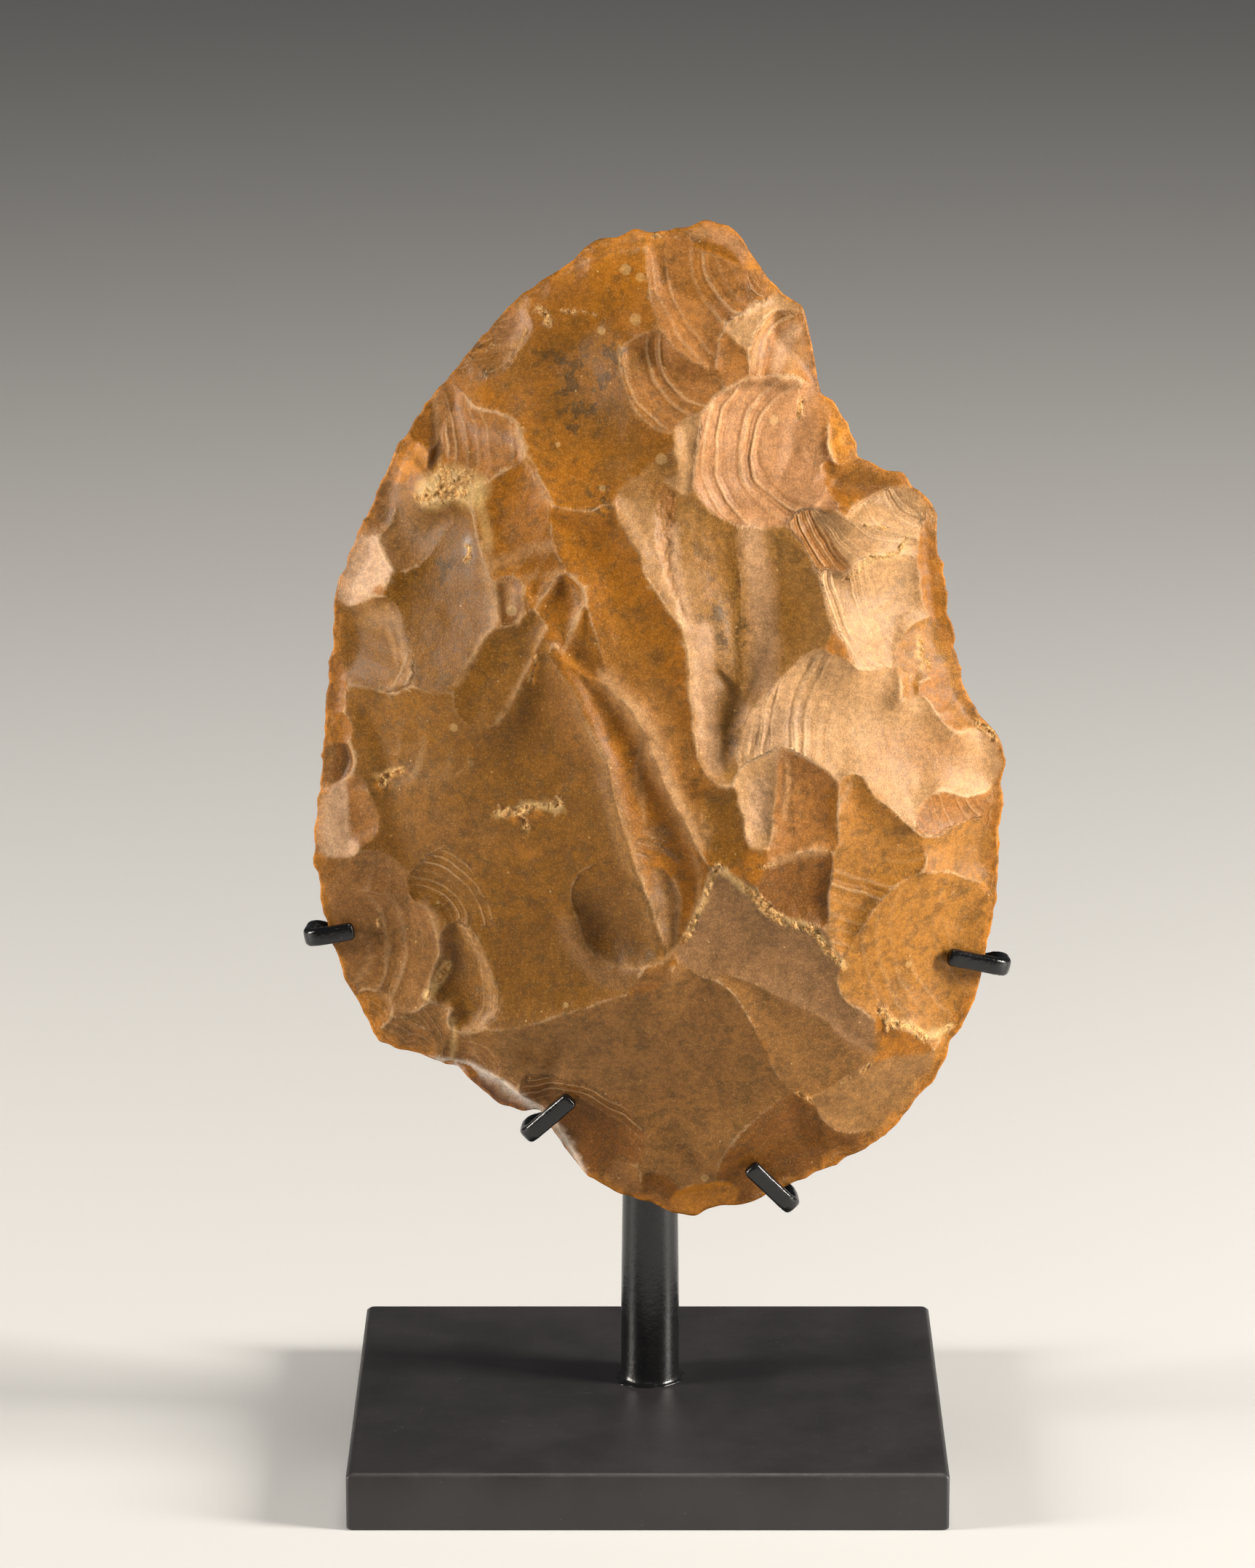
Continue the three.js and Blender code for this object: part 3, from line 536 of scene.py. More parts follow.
    "leaf_left": ("olive", 2.2, "-31,-33 -29,-34.5 -27,-38 -25.5,-42 -25.2,-46 -27,-49 -29.5,-50"
        " -32,-49.5 -32,-46.5 -35,-45.2 -35,-41 -33.8,-38 -33.5,-35",
        dict(hub=(-44, -42), ripple=0.07, wave=1.2, near=0.65)),
    "small_crescent": ("rose_brown", 1.0, "-55,-33 -50,-33.3 -47.5,-34 -46,-37 -46.3,-40 -48,-42.2"
        " -52,-42", {}),
    "rose_low": ("pale_pink", 1.2, "-57,-9 -53.5,-9 -52,-9.7 -49.5,-8 -48,-12 -48,-17 -48.5,-20.5"
        " -52.5,-20.8 -57,-18", dict(hub=(-57, -14), ripple=0.03, wave=2)),
    "rose_mid": ("rose", 0.6, "-49.5,-8.3 -48,-8 -46,-11.5 -44.8,-14 -45,-17 -47,-18.8 -48.7,-18", {}),
    "left_facet": ("rose_brown", 0.8, "-57,-2 -53,-1.6 -51,-2.6 -51.2,-6 -52,-9.5 -57,-8", {}),
    "dark_hollow": ("amber_brown", 1.8, "-51.5,-2.3 -50,-2 -48.8,-3.3 -48.3,-5.5 -49.3,-7.6 -51.3,-9.3"
        " -52,-6", dict(grow=0.2)),
    "orange_nick": ("amber", 0.6, "-55,3 -51.5,3.2 -49.5,1 -49.5,-1 -51,-2 -55,-2", {}),
    # left middle
    "grey_hollow": ("olive", 2.8, "-37,36.5 -33,37.4 -29.5,37.2 -27.3,34 -25.9,29 -24.5,24 -24,20"
        " -25.5,16.5 -28,12.5 -31.5,7.5 -37,8 -41,12 -43,18 -42,24 -40,29 -38,32",
        dict(hub=(-47, 2), step=0.85, soft=0.2)),
    "side_leaf": ("olive", 1.6, "-52,22 -45.5,22 -42,21.3 -40.2,16 -38.6,11.5 -39,8.7 -42,6.8 -46,7.8"
        " -52,9", dict(hub=(-56, 18), ripple=0.06, wave=1.3, near=0.7)),
    "pink_rough": ("pale_pink", 1.1, "-52,24 -50,29 -48,34 -44.5,34 -42,33 -41.3,29.5 -43,25 -46,22.5"
        " -49,20.5 -53,21.5", dict(hub=(-52, 34), ripple=0.04, wave=1.1, hackle=0.04)),
    "nick_ripples": ("brown", 0.5, "-50,20.5 -47,20.5 -45,19.5 -45,16.5 -47,14.8 -50,17",
        dict(hub=(-50, 21), ripple=0.06, wave=0.9)),
    "margin_strip": ("rose", 0.7, "-54,21 -51,20 -50.3,14 -50,8 -50.6,4 -55,3.5 -54,12",
        dict(hackle=0.05, hub=(-60, 12))),
    "grey_lobe": ("brown", 1.4, "-44,41 -40,41 -38.5,38.5 -36,37 -33,37 -32.5,35 -34,31.5 -36.5,28.5"
        " -40,27 -43.5,33 -42,37", {}),
    "pink_scar": ("pink", 0.8, "-44.8,43 -42,47.5 -41,43 -41.7,41.5 -41,41.5 -43.5,40", {}),
    "plum_pit": ("rose_brown", 0.7, "-48,34.5 -46,41 -43,40.5 -41.8,38 -42,35 -44,32.5 -46.5,32.5",
        dict(hub=(-44.5, 37), ripple=0.06, wave=1.5)),
    "amber_panel": ("amber", 1.4, "-27.5,39.5 -24,42.5 -20.5,45 -18,41.5 -15.8,37 -16,33 -15.6,30"
        " -13.8,26.3 -16,23 -18,20.5 -19.5,24.5 -23.8,24.5 -26,29 -27.3,34",
        dict(hub=(-36, 44), ripple=0.03, wave=2.6, near=0.3)),
    "fossil_cup": ("amber_brown", 0.5, "-24,25 -21,25 -20,23 -19.9,20 -21,17.6 -23,17.6 -24,20 -24.2,22",
        dict(grow=0.2)),
    "slanted_panel": ("olive", 0.7, "-16.8,17.6 -17.5,15.5 -19.5,11 -21.5,7 -23.5,3 -24.6,2 -28,1 -31,4"
        " -31,8 -28,12.5 -24.5,17 -22,17.4 -18,20 -17,19", dict(hub=(-31, -3), step=0.9, grow=0.3)),
    "slanted_leaf": ("deep", 1.1, "-13.4,26.2 -11.8,25.2 -10.5,23.4 -10,21.5 -10.4,19.5 -11.2,17.7"
        " -12.6,15 -13.8,13.1 -14.8,14.6 -16.3,17.5 -17.8,20.3 -15.8,23.6",
        dict(hub=(-18, 16), step=0.6, grow=0.1)),
    "thin_sliver": ("deep", 0.5, "-10,20 -9.2,17.5 -8.3,13.5 -7.6,9.3 -9.5,9.6 -12,11.5 -13.8,13"
        " -12.5,15.3 -11,18", {}),
    # left shoulder
    "ripple_fan": ("rose", 2.2, "-34.8,57.6 -32.5,57 -30,55.3 -27.5,52.8 -24,51.5 -22,50.3 -20.7,47.5"
        " -20.5,45.3 -24,43 -27.5,40.7 -30,42 -34,43 -33.7,48 -34.5,52.5",
        dict(hub=(-46, 48), ripple=0.06, wave=1.8)),
    "crease": ("amber", 1.4, "-35.3,55.5 -34,53 -33.2,49 -33.5,43.5 -34.8,43 -34.8,48 -35.6,52", {}),
    "edge_strip_left": ("amber", 0.8, "-39,52 -36.5,55.5 -34.8,57 -34.8,52 -35.2,47 -37.5,48",
        dict(hub=(-32, 58), hackle=0.05)),
    "orange_flake": ("orange", 0.5, "-41,46 -37,46.8 -36.3,45 -38,43 -40,41.7 -41.7,42", {}),
    "shoulder_chip": ("pink", 0.9, "-25.5,70.5 -22,70 -19.8,68.3 -19.6,65.5 -20.5,63.8 -22.5,63 -25.5,63"
        " -27.5,66", dict(hub=(-24, 73), ripple=0.05, wave=1.0)),
}
# Steep broken faces at the lower left, struck last. Same entries as above. The pale pink steep walls are
# painted as lit, and the plum slope past them is painted shade.
BROKEN_EDGE = {
    "steep_left": ("pale_pink", 3.2, "-37,-55 -33,-55.6 -29.5,-56.6 -26.5,-58 -24,-59.5 -21,-61.8"
        " -17.5,-64.2 -18,-66 -22,-66 -26,-65 -32,-60 -38,-57", dict(power=1.6, grow=0.0, bevel=0.06)),
    "steep_low": ("pale_pink", 2.6, "-17,-65.5 -15.5,-66.8 -13.7,-69.3 -12.2,-71.8 -11,-74.2 -9.5,-76.5"
        " -12,-77 -15,-73 -18,-69", dict(power=1.6, grow=0.0, bevel=0.06)),
    "brown_back": ("plum", 0.3, "-36,-57 -33.5,-57 -30,-58.2 -27,-60 -24.5,-61.5 -21.5,-63.6 -19,-65.3"
        " -22,-66.5 -28,-65 -34,-60", dict(grow=0.0, bevel=0.03)),
}
# Soft ridges: width, rise, and the line each follows.
SWELLS = [
    (1.3, 0.5, "-15,14 -12.5,8 -10,3 -8,-1.5 -6.3,-6.5 -5.2,-11 -3.8,-16 -2.6,-20 -1.4,-24.5 0,-29 1,-33"
        " 1.6,-36.5"),
    (1.4, 0.5, "-13,-31 -12,-35 -9,-39 -5,-40.5 0,-40 4,-38.8"),
]
# Crushed, crumbly steps: width, and the line each follows.
CRUSHED = [
    (3.2, "-35.5,40 -33,41.5 -31,41 -29.5,41.5"), (1.4, "-37,38.5 -34,39.5"),
    (1.2, "-28.8,27.4 -28.4,30"), (0.7, "11.3,-22 10,-25 9,-28 7.5,-31 6,-34"),
    (0.9, "12,-22.3 14,-24 17,-26 19,-29 21.5,-31 24.5,-32 27,-32.5 28.5,-35 30.5,-37 32,-38.8"),
    (0.9, "38,-47 39,-47 40,-49.3 42,-49 44,-50 46,-51.8 48,-51 50.5,-50"),
    (0.8, "-36.3,-44.5 -34.5,-42 -33,-39.8"), (1.5, "-23.6,-13.6 -22,-13.5 -20.5,-13"),
    (0.9, "-20.5,-12.8 -18.5,-12.6 -17,-12.4"), (0.7, "-20.5,-14 -20,-16.5"),
    (0.9, "-15.3,-12.4 -14.7,-12.3"), (0.9, "-44,-9.5 -43.5,-8 -41,-7.2 -40,-6.8"),
    (0.45, "-44.3,-31 -44.3,-33"), (0.6, "-18.7,8.3 -18.2,11 -18,13"), (0.6, "25,-60.2 27,-61.8"),
    (0.4, "31.5,-59 33,-58 35,-57 37,-56"), (0.5, "31.5,25 34,26.3 36,28.8 39,28.6 41,29.5 42,31.5"),
    (0.5, "33,35.2 36,34.2 39,33.5"), (0.6, "44.5,15 44.5,12.5 45.8,10.8"),
    (0.5, "11.5,-21.5 15,-22 18,-22 20.5,-21.8"), (0.7, "-18,70 -16.5,68.5 -16,66.5"),
    (0.4, "1,81.2 3,81.5 5,81"), (0.9, "54.5,1 56.5,0 57,-1"),
    (0.35, "-25.2,63.3 -22.5,62.9 -20.3,64 -19.7,66"), (0.5, "24.5,51 25,54"),
    (0.35, "-14,69 -11,69 -8.5,68"),
]

# Stains and painted highlights: shade, amount, middle, reach right and up, tilt in degrees. Most are stains
# in the stone; the pale washes on the great flute's wall and the side leaf, and the grey_rose one by the
# long trough, are painted highlights on lit walls.
WASHES = [
    ("olive", 0.7, -12, 55, 13, 12, 0), ("olive", 0.5, -2, 45, 8, 8, 0),
    ("olive", 0.5, -4, 15, 7, 12, 20), ("brown", 0.4, -24, 60, 9, 6, 45),
    ("grey_rose", 0.5, 4, 0, 3.5, 15, 22), ("olive", 0.6, 12, 26, 5, 9, 0),
    # The pale wash at 2.5, 30 is a painted highlight on the great flute's lit wall.
    ("olive", 0.6, 22, 19, 4, 8, 0), ("deep", 0.6, -8, 27, 6, 8, 0), ("pale", 0.55, 2.5, 30, 2.5, 11, 27),
    # The grey_rose wash at -6, -10 is a painted highlight on the soft ridge's lit slope.
    ("rose", 0.4, -12, 3, 5, 12, 20), ("grey_rose", 0.7, -6, -10, 2.0, 24, 14),
    # The pale wash at -44, 19 is a painted highlight on the side leaf's lit wall.
    ("orange", 0.3, -21, -20.5, 3, 1.6, 0), ("pale", 0.5, -44, 19, 4, 3, 0),
    ("grey", 0.5, -40, -9, 12, 6, 0), ("brown", 0.5, -35, -18, 14, 6, 0),
    ("brown", 0.5, -38, -40, 10, 8, 30), ("pale_pink", 0.5, 20, 1, 6, 6, 30),
    ("rose", 0.45, 46, -4, 12, 6, 0), ("amber", 0.4, 34, -13, 4, 5, 0),
    ("grey_brown", 0.4, -12, -56, 16, 8, 10), ("orange", 0.35, 7, 71, 3, 6, 0),
    ("pale", 0.4, 23, 62, 3, 5, 0), ("orange", 0.5, 31, 50, 3, 7, 20), ("brown", 0.5, 36, 42, 6, 3, -20),
    ("rose", 0.5, -30, 50, 5, 6, 0), ("pale_pink", 0.6, -46, 29, 3, 5, 0),
    ("grey", 0.5, -37, 34, 5, 5, 0), ("deep", 0.5, -19, 30, 6, 10, 0), ("orange", 0.4, -3, 80, 8, 3, 10),
    ("amber", 0.5, -27, 66, 8, 4, 45), ("orange", 0.35, -51.5, 0, 1.5, 2, 0),
]

# Tints: shade, amount, width, how softly it ends, and the line it follows. Besides the stone's own colours,
# these paint shadow and highlights, as noted for each group.
TINTS = [
    # Painted light on the steep broken edge: plum is painted shade on the slope past it, milk a painted
    # highlight on its lit band.
    ("plum", 0.9, 3.0, 0.5, "-33,-58.2 -29,-60.2 -26,-62.6 -21,-65.5"),
    ("milk", 1, 1.2, 0.3, "-37,-55.5 -33,-56 -29.5,-57 -26.5,-58.4 -24,-59.9 -21,-62.2 -18,-64.7"),
    ("milk", 1, 1.2, 0.3, "-15.8,-67 -14,-69.5 -12.4,-72 -11.2,-74.5"),
    # soft ridge beside the long trough, and the trough. The grey_rose and pale_olive lines are a painted
    # highlight on the ridge's lit slope; deep is the trough's own amber.
    ("grey_rose", 0.5, 1.2, 1.2, "-11,4 -8.5,-1 -6.5,-6.5 -5.3,-11 -3.8,-16"),
    ("pale_olive", 0.7, 1.4, 1.2, "-5,-12 -3.8,-16 -2.6,-20 -1.2,-24.5 .2,-29 1,-33 1.6,-36.5"),
    ("deep", 0.8, 1.8, 1.0, "-9,4 -6,0 -3.6,-6 -2.4,-11 -1.4,-16"),
    ("deep", 0.7, 2.0, 1.0, "1,-2 2,-6 3.5,-11 6,-15 8,-19"),
    # Thin pale lines on the bulb's ridges and rims: partly worn arrises, partly painted highlights.
    ("pale", 0.5, 0.35, 0.3, "-1,-2 -1.8,-6 -1.5,-10 -.6,-14"),
    ("pale", 0.4, 0.3, 0.3, "-.2,-3 -.9,-7 -.6,-11"),
    ("pale", 0.7, 0.5, 0.5, "4.2,-24.5 4.8,-28 4.7,-32 4.7,-35.4 3.6,-36.6"),
    ("pale", 0.5, 0.4, 0.4, "7.2,-20 8.4,-23.5 8,-28 7.3,-30"),
    ("dark", 0.5, 0.8, 0.8, "1.5,-24 2.4,-29 2.4,-34"), ("amber", 0.8, 1.0, 0.6, "6,-26 6.2,-30 5.6,-34"),
    ("orange", 0.45, 0.7, 0.5, "-16,37.6 -14.5,36.4 -10,35.8 -5,36.4"),
    ("orange", 0.4, 0.6, 0.5, "-15.5,13.8 -12,11.2 -8,8"),
    ("grey_brown", 0.5, 2.6, 1.6, "-13,-33 -11,-37 -7,-40.5 -2,-41 3,-39.5"),
    # Pale line on the spoon's tip rim: partly a worn arris, partly a painted highlight.
    ("pale", 0.6, 0.3, 0.3, "-9.8,-35.6 -8.6,-37.4 -6.3,-38.6 -3,-38.9 0,-38.3 3,-37.2"),
    ("dark", 0.45, 6, 5, "-6,-30 -4,-34"),
    # pale edge of the long panel and the great flute. The panel's pale edge is partly a worn arris, partly
    # a painted highlight; the pale on the flute's wall is a painted highlight, and the dark line is painted
    # shadow beside the right ridge.
    ("pale", 0.6, 1.4, 2.2, "-6,8.5 -3,5 0,-.5 2.5,-5.5 5,-11 8,-17"),
    ("pale", 0.6, 0.5, 0.5, "-7.6,10 -5.2,7.4 -2.2,5 .6,0 3.3,-6 5.8,-12 9.2,-19"),
    ("pale", 0.7, 0.7, 0.9, "-3.6,37 -2,33 0,29 1.5,25.5 4,21.5 6.3,17.5 7.6,12 7.9,5 8.6,0"),
    ("pale_pink", 0.5, 1.0, 0.8, "4.4,33 4.2,27 5.2,22 7,17"),
    ("pale_pink", 0.5, 1.8, 1.2, "9.5,16 9,10 9.3,3 10,-2 11,-6"),
    ("pale_pink", 0.45, 2.4, 2.0, "17,32 18,24 19,15 18.5,8"),
    ("pale_olive", 0.5, 1.5, 1.5, "11.5,28 12,18 12.5,11"), ("dark", 0.4, 1.2, 1.2, "12,9 13,3 13.6,-3"),
    ("pale", 0.6, 0.4, 0.4, "10,-6.3 11.4,-7.8 12.8,-8.4"),
    # crown. Cream marks the cortex. The dark lines are painted shadow in the groove on the left shoulder
    # and under the crescent's step; the thin pale lines are painted highlights on lit edges and ripple
    # crests.
    ("cream", 0.85, 3.4, 1.6, "-35,39.3 -33,40.4 -30,40.4 -28,39.3"),
    ("cream", 0.5, 0.8, 1.0, "-27.4,38.5 -26.2,34 -25.6,30"),
    ("dark", 0.6, 0.8, 0.5, "-35.2,54 -34.6,50 -34.8,46 -35,43.5"),
    ("pale", 0.7, 0.5, 0.4, "-34.4,54 -33.8,50 -33.9,44"),
    ("pale", 0.5, 0.3, 0.3, "-33,54 -32.4,50 -32.5,45"),
    ("pale", 0.4, 0.3, 0.3, "-31.6,52 -31,48 -31.2,44.5"),
    ("pale", 0.6, 0.35, 0.3, "-20.5,45.2 -18.5,42 -17,39.5 -15.6,37.4"),
    ("pale", 0.7, 0.5, 0.4, "-21.4,49.5 -20.8,47.5 -20.4,45.3"),
    ("dark", 0.5, 0.7, 0.6, "12,55.8 15,56.8 19,57 24,56"),
    ("pale", 0.7, 0.5, 0.4, "17,60 17.6,62.5 19,65.5 20.5,67.3"),
    ("pale_pink", 0.6, 1.5, 1, "21,60 23,64 24,66"),
    # left. The thin pale lines on the leaves' and hollows' rims are painted highlights, partly worn
    # arrises; the dark line in the dark hollow is painted shadow. Orange, milk and cream are the stone's
    # own.
    ("pale", 0.5, 0.6, 1.0, "-25,27.2 -20,29 -16,30.5"),
    ("pale", 0.5, 0.4, 0.5, "-24.5,24.8 -19,25.6 -14.2,26.6"),
    ("pale", 0.7, 0.3, 0.3, "-13.8,26.2 -15.8,23.4 -18,20.6"),
    ("pale", 0.8, 0.35, 0.3, "-10.4,24 -10,21.5 -10.9,18.5 -12.5,15.4 -13.8,13.3"),
    ("pale", 0.5, 0.3, 0.3, "-11.5,23.5 -11.2,20.5 -12.4,17.5"),
    ("pale", 0.8, 0.35, 0.3, "-16.6,17.5 -17.4,15.4 -19.4,11 -21.4,7 -24.6,2.2"),
    ("pale", 0.7, 0.4, 0.4, "-24.3,22 -24.2,19.5 -25,17.4 -28,13 -31,8"),
    ("pale", 0.5, 0.8, 1.2, "-26,30 -25.4,24 -25,20"),
    ("pale", 0.7, 0.3, 0.3, "-20,23 -19.9,20.5 -20.8,18"),
    ("pale", 0.6, 1.0, 0.8, "-22.6,23.6 -22,22 -22.2,20.8"),
    ("orange", 0.8, 0.9, 0.4, "-18.6,8.6 -18.2,11 -18,13"), ("milk", 0.6, 0.7, 0.4, "-29,31 -28.6,28.5"),
    ("pale", 0.6, 0.35, 0.3, "-42.4,20.8 -41,17.5 -39.6,12.4 -38.9,10 -40.2,8 -42.5,7"),
    ("pale", 0.5, 0.3, 0.3, "-42.8,18.5 -41.2,13 -40.6,10"),
    ("dark", 0.9, 0.9, 0.4, "-49.7,-3 -49.3,-5 -50,-7.2"),
    ("cream", 0.9, 0.9, 0.3, "-24.2,-14 -22.6,-13.8 -21,-13.2 -19.5,-12.7 -17,-12.6 -16,-12.8"
        " -15.2,-12.2 -14.6,-12.6"),
    ("orange", 0.8, 0.9, 0.5, "-22,-14.8 -20.5,-14 -18,-13.6"),
    ("dark", 0.9, 0.5, 0.2, "-20.9,-14.7 -20.6,-14.8"),
    ("orange", 0.8, 0.8, 0.4, "-44.4,-10 -44.2,-8.3 -42.5,-7.6 -40.2,-6.8"),
    ("cream", 0.7, 0.3, 0.2, "-44.8,-8 -43,-7.2 -40.5,-6.4"),
    # lower left. The thin pale lines on the leaves' rims are painted highlights, partly worn arrises; cream
    # marks crushed steps.
    ("pale", 0.6, 0.35, 0.3, "-47.4,-34 -46.1,-37 -46.5,-40 -48,-42"),
    ("pale", 0.5, 0.4, 0.4, "-37.5,-29.5 -35,-31.5 -34,-35 -34.2,-39"),
    ("pale", 0.75, 0.35, 0.3, "-30.5,-33 -28.4,-35.4 -26.5,-39 -25.3,-43 -25.6,-46.6 -28,-49.6 -30.5,-50"),
    ("pale", 0.6, 0.3, 0.3, "-29.8,-34.6 -27.6,-38.6 -26.3,-43 -26.6,-46.4"),
    ("cream", 0.8, 1.1, 0.5, "-33.2,-40 -34.6,-42 -36.3,-44.4"),
    ("cream", 0.7, 0.4, 0.3, "-32,-48.5 -32,-52 -32.4,-55.5"),
    ("pale", 0.4, 0.4, 0.4, "-29.4,-50.5 -28.9,-55"),
    ("pale", 0.5, 0.4, 0.4, "-45,-43 -42,-46 -39,-46.8 -35,-45.6 -32.8,-46"),
    # right and butt
    ("cream", 0.8, 0.7, 0.4, "12,-22.3 14,-24 17,-26.3 19,-29.3 22,-30.8 25,-31.6 27.6,-33 29,-35.6"
        " 32,-38.6"),
    ("cream", 0.7, 0.5, 0.3, "11,-22.3 9.9,-25 8.8,-28 7.3,-31 6,-33.6"),
    ("cream", 0.8, 0.8, 0.4, "40,-48.8 43,-49.2 45,-51 48,-51.3 50.3,-50"),
    ("pale", 0.7, 0.6, 0.5, "16.6,-16.6 17.4,-17.8 19.4,-17.6 20.6,-16"),
    ("pale_pink", 0.5, 2.2, 1.0, "18,-9 18.6,-15"), ("dark", 0.6, 0.3, 0.3, "21.8,-4 21.9,-9 21.6,-13"),
    ("pale", 0.6, 0.3, 0.3, "22.4,-4 22.6,-9 22.3,-14"),
    ("dark", 0.5, 0.3, 0.3, "23.2,-4.6 23.4,-9 23,-13"),
    ("pale", 0.6, 0.7, 0.8, "20.8,-21 25,-19.6 29,-19.2"),
    ("pale", 0.6, 0.4, 0.4, "29.3,-19 31,-12 33,-8"),
    ("amber", 0.7, 0.9, 0.6, "29.6,-10 30.2,-14 29.3,-19"),
    ("honey", 0.8, 1.0, 0.5, "44.6,15 44.8,12.5 45.2,10.6"),
    ("cream", 0.6, 0.3, 0.3, "44.2,15 44.2,12 44.8,10.4"), ("orange", 0.7, 1.0, 0.6, "55,1.2 56.8,0"),
    ("cream", 0.5, 0.4, 0.4, "34.8,27.6 37.5,28.8 40,28.6 42,29.8 43,32.4"),
    ("pale", 0.5, 0.4, 0.3, "32.2,34.4 35,33.9 39,33.4"),
    ("dark", 0.35, 1.0, 1.0, "24,-42 30,-46.5 37,-52"), ("orange", 0.6, 0.5, 0.4, "25,-60.2 27,-61.8"),
    ("dark", 0.4, 0.5, 0.4, "31,-58.6 34,-57 38,-55.6"),
]


LEAF_CORNERS = 10


def retouch(face, seed, count, longest, shades):
    """Small flakes nibbled off all along the margin."""
    rng = np.random.default_rng(seed)
    for k in range(count):
        angle = (k + rng.uniform(-0.4, 0.4)) * TURN / count
        out = float(at_angle(margin_ring, np.array(angle))) + 0.3
        long = rng.uniform(0.3, 1.0) ** 1.5 * longest
        aim = angle + rng.uniform(-0.5, 0.5)
        start = (out * math.cos(angle), out * math.sin(angle))
        end = (start[0] - long * math.cos(aim), start[1] - long * math.sin(aim))
        shade = shades[rng.integers(len(shades))]
        outline = leaf(start, end, long * rng.uniform(0.4, 0.8))
        face.strike(shade, 0.08 + 0.13 * long, outline, hub=start, ripple=0.05,
                    wave=rng.uniform(0.7, 1.6), steps=3, recolour=0.45)


def leaf(start, end, half):
    """Outline of a plain flake from start to end, with half its width."""
    start, end = np.array(start), np.array(end)
    turn = np.arange(LEAF_CORNERS) * TURN / LEAF_CORNERS
    along, side = (end - start), np.array([start[1] - end[1], end[0] - start[0]])
    side = side / np.linalg.norm(side) * half
    return start + np.outer((np.cos(turn) + 1) / 2, along) + np.outer(np.sin(turn), side)


def flake_front():
    face = Face("amber", 41)
    for name, (shade, deep, outline, extra) in FRONT_FLAKES.items():
        if name == "below_tip":
            retouch(face, 30, 80, 6.5, ("amber", "rose", "rose_brown", "honey"))
        face.strike(shade, deep, traced(outline), **extra)
    for width, rise, points in SWELLS:
        face.swell(width, rise, points)
    retouch(face, 31, 170, 2.6, ("amber", "rose", "pale", "orange", "honey"))
    for shade, deep, outline, extra in BROKEN_EDGE.values():
        face.strike(shade, deep, traced(outline), **extra)
    # The washes and tints paint stains, and also painted shadow and highlights, into the colour.
    for recolour in WASHES:
        face.wash(*recolour)
    for recolour in TINTS:
        face.tint(*recolour)
    for width, points in CRUSHED:
        face.crush(width, points)
    face.finish()
    return face


def variation(i, k):
    """A fixed number from 0 to 1 for each pair of whole numbers."""
    s = math.sin(i * 12.9898 + k * 78.233) * 43758.5453
    return s - math.floor(s)


def flake_back():
    """A ring of long flakes that stop near a wandering ridge, then rings of shorter ones."""
    face = Face("amber", 42)
    shades = ("amber", "olive", "honey", "brown", "rose", "grey_rose", "pale_olive", "amber_brown")
    for count, inward, share, depth, shift in ((11, 1.0, 1.15, 2.4, 0), (17, 0.5, 1.1, 1.3, 5)):
        for i in range(count):
            angle = (i + shift + 0.5 * variation(i, shift)) * TURN / count
            out = float(at_angle(plain_margin, np.array(angle))) * 1.04
            x0, y0 = math.cos(angle) * out, math.sin(angle) * out
            ridge_x = 7 * math.sin(y0 / 24) - math.copysign(5, x0) * variation(i, shift + 1)
            ridge_y = 0.5 * y0 + 12 * (variation(i, shift + 4) - 0.5)
            reach = inward * (0.85 + 0.15 * variation(i, shift + 2))
            end = (x0 + (ridge_x - x0) * reach, y0 + (ridge_y - y0) * reach)
            shade = shades[int(variation(i, shift + 6) * len(shades))]
            face.strike(shade, depth * (0.7 + 0.6 * variation(i, shift + 3)),
                        leaf((x0, y0), end, share * math.pi * out / count),
                        hub=(x0, y0), ripple=0.07 * share, wave=2.2 + variation(i, 9), near=0.3)
    retouch(face, 47, 64, 9.0, shades)
    retouch(face, 48, 120, 3.0, ("amber", "rose", "orange", "honey"))
    face.finish()
    return face


def edge_wander():
    """How far the sharp edge strays from one plane."""
    share = np.minimum(REACH / at_angle(broad_ring, ANGLE), 1) ** 2
    return share * (0.7 * np.sin(2 * ANGLE + 0.6) + 0.5 * np.sin(5 * ANGLE + 1.9))


front = flake_front()
back = flake_back()
WANDER = edge_wander()
SKIN_NOISE = 0.010 * wobble(21, 0.5) + 0.022 * wobble(22, 1.3) + 0.06 * wobble(24, 3.2)
FADE = np.clip(INSIDE / 1.5, 0, 1)
FRONT_Z = WANDER + front.height + SKIN_NOISE * FADE
BACK_Z = WANDER - back.height + SKIN_NOISE * FADE


# ------------------------------------------------------------------ mesh helpers
def from_axe(points):
    """Axe's own right, up, front in millimetres to world millimetres."""
    points = np.asarray(points, float)
    return AXE_CENTRE + points[..., :1] * RIGHT + points[..., 1:2] * UP + points[..., 2:3] * FRONT


def new_piece(name, points, faces, material, node):
    mesh = bpy.data.meshes.new(name)
    mesh.from_pydata([tuple(p) for p in np.asarray(points) * MM], [], faces)
    mesh.validate()
    mesh.polygons.foreach_set("use_smooth", [True] * len(mesh.polygons))
    piece = bpy.data.objects.new(name, mesh)
    bpy.context.scene.collection.objects.link(piece)
    mesh.materials.append(material)
    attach(piece, "root")
    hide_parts(node)
    return piece


def add_field(mesh, name, values):
    """One number for each point, for the finish to read."""
    made = mesh.attributes.new(name, "FLOAT", "POINT")
    made.data.foreach_set("value", np.ascontiguousarray(values, np.float32))


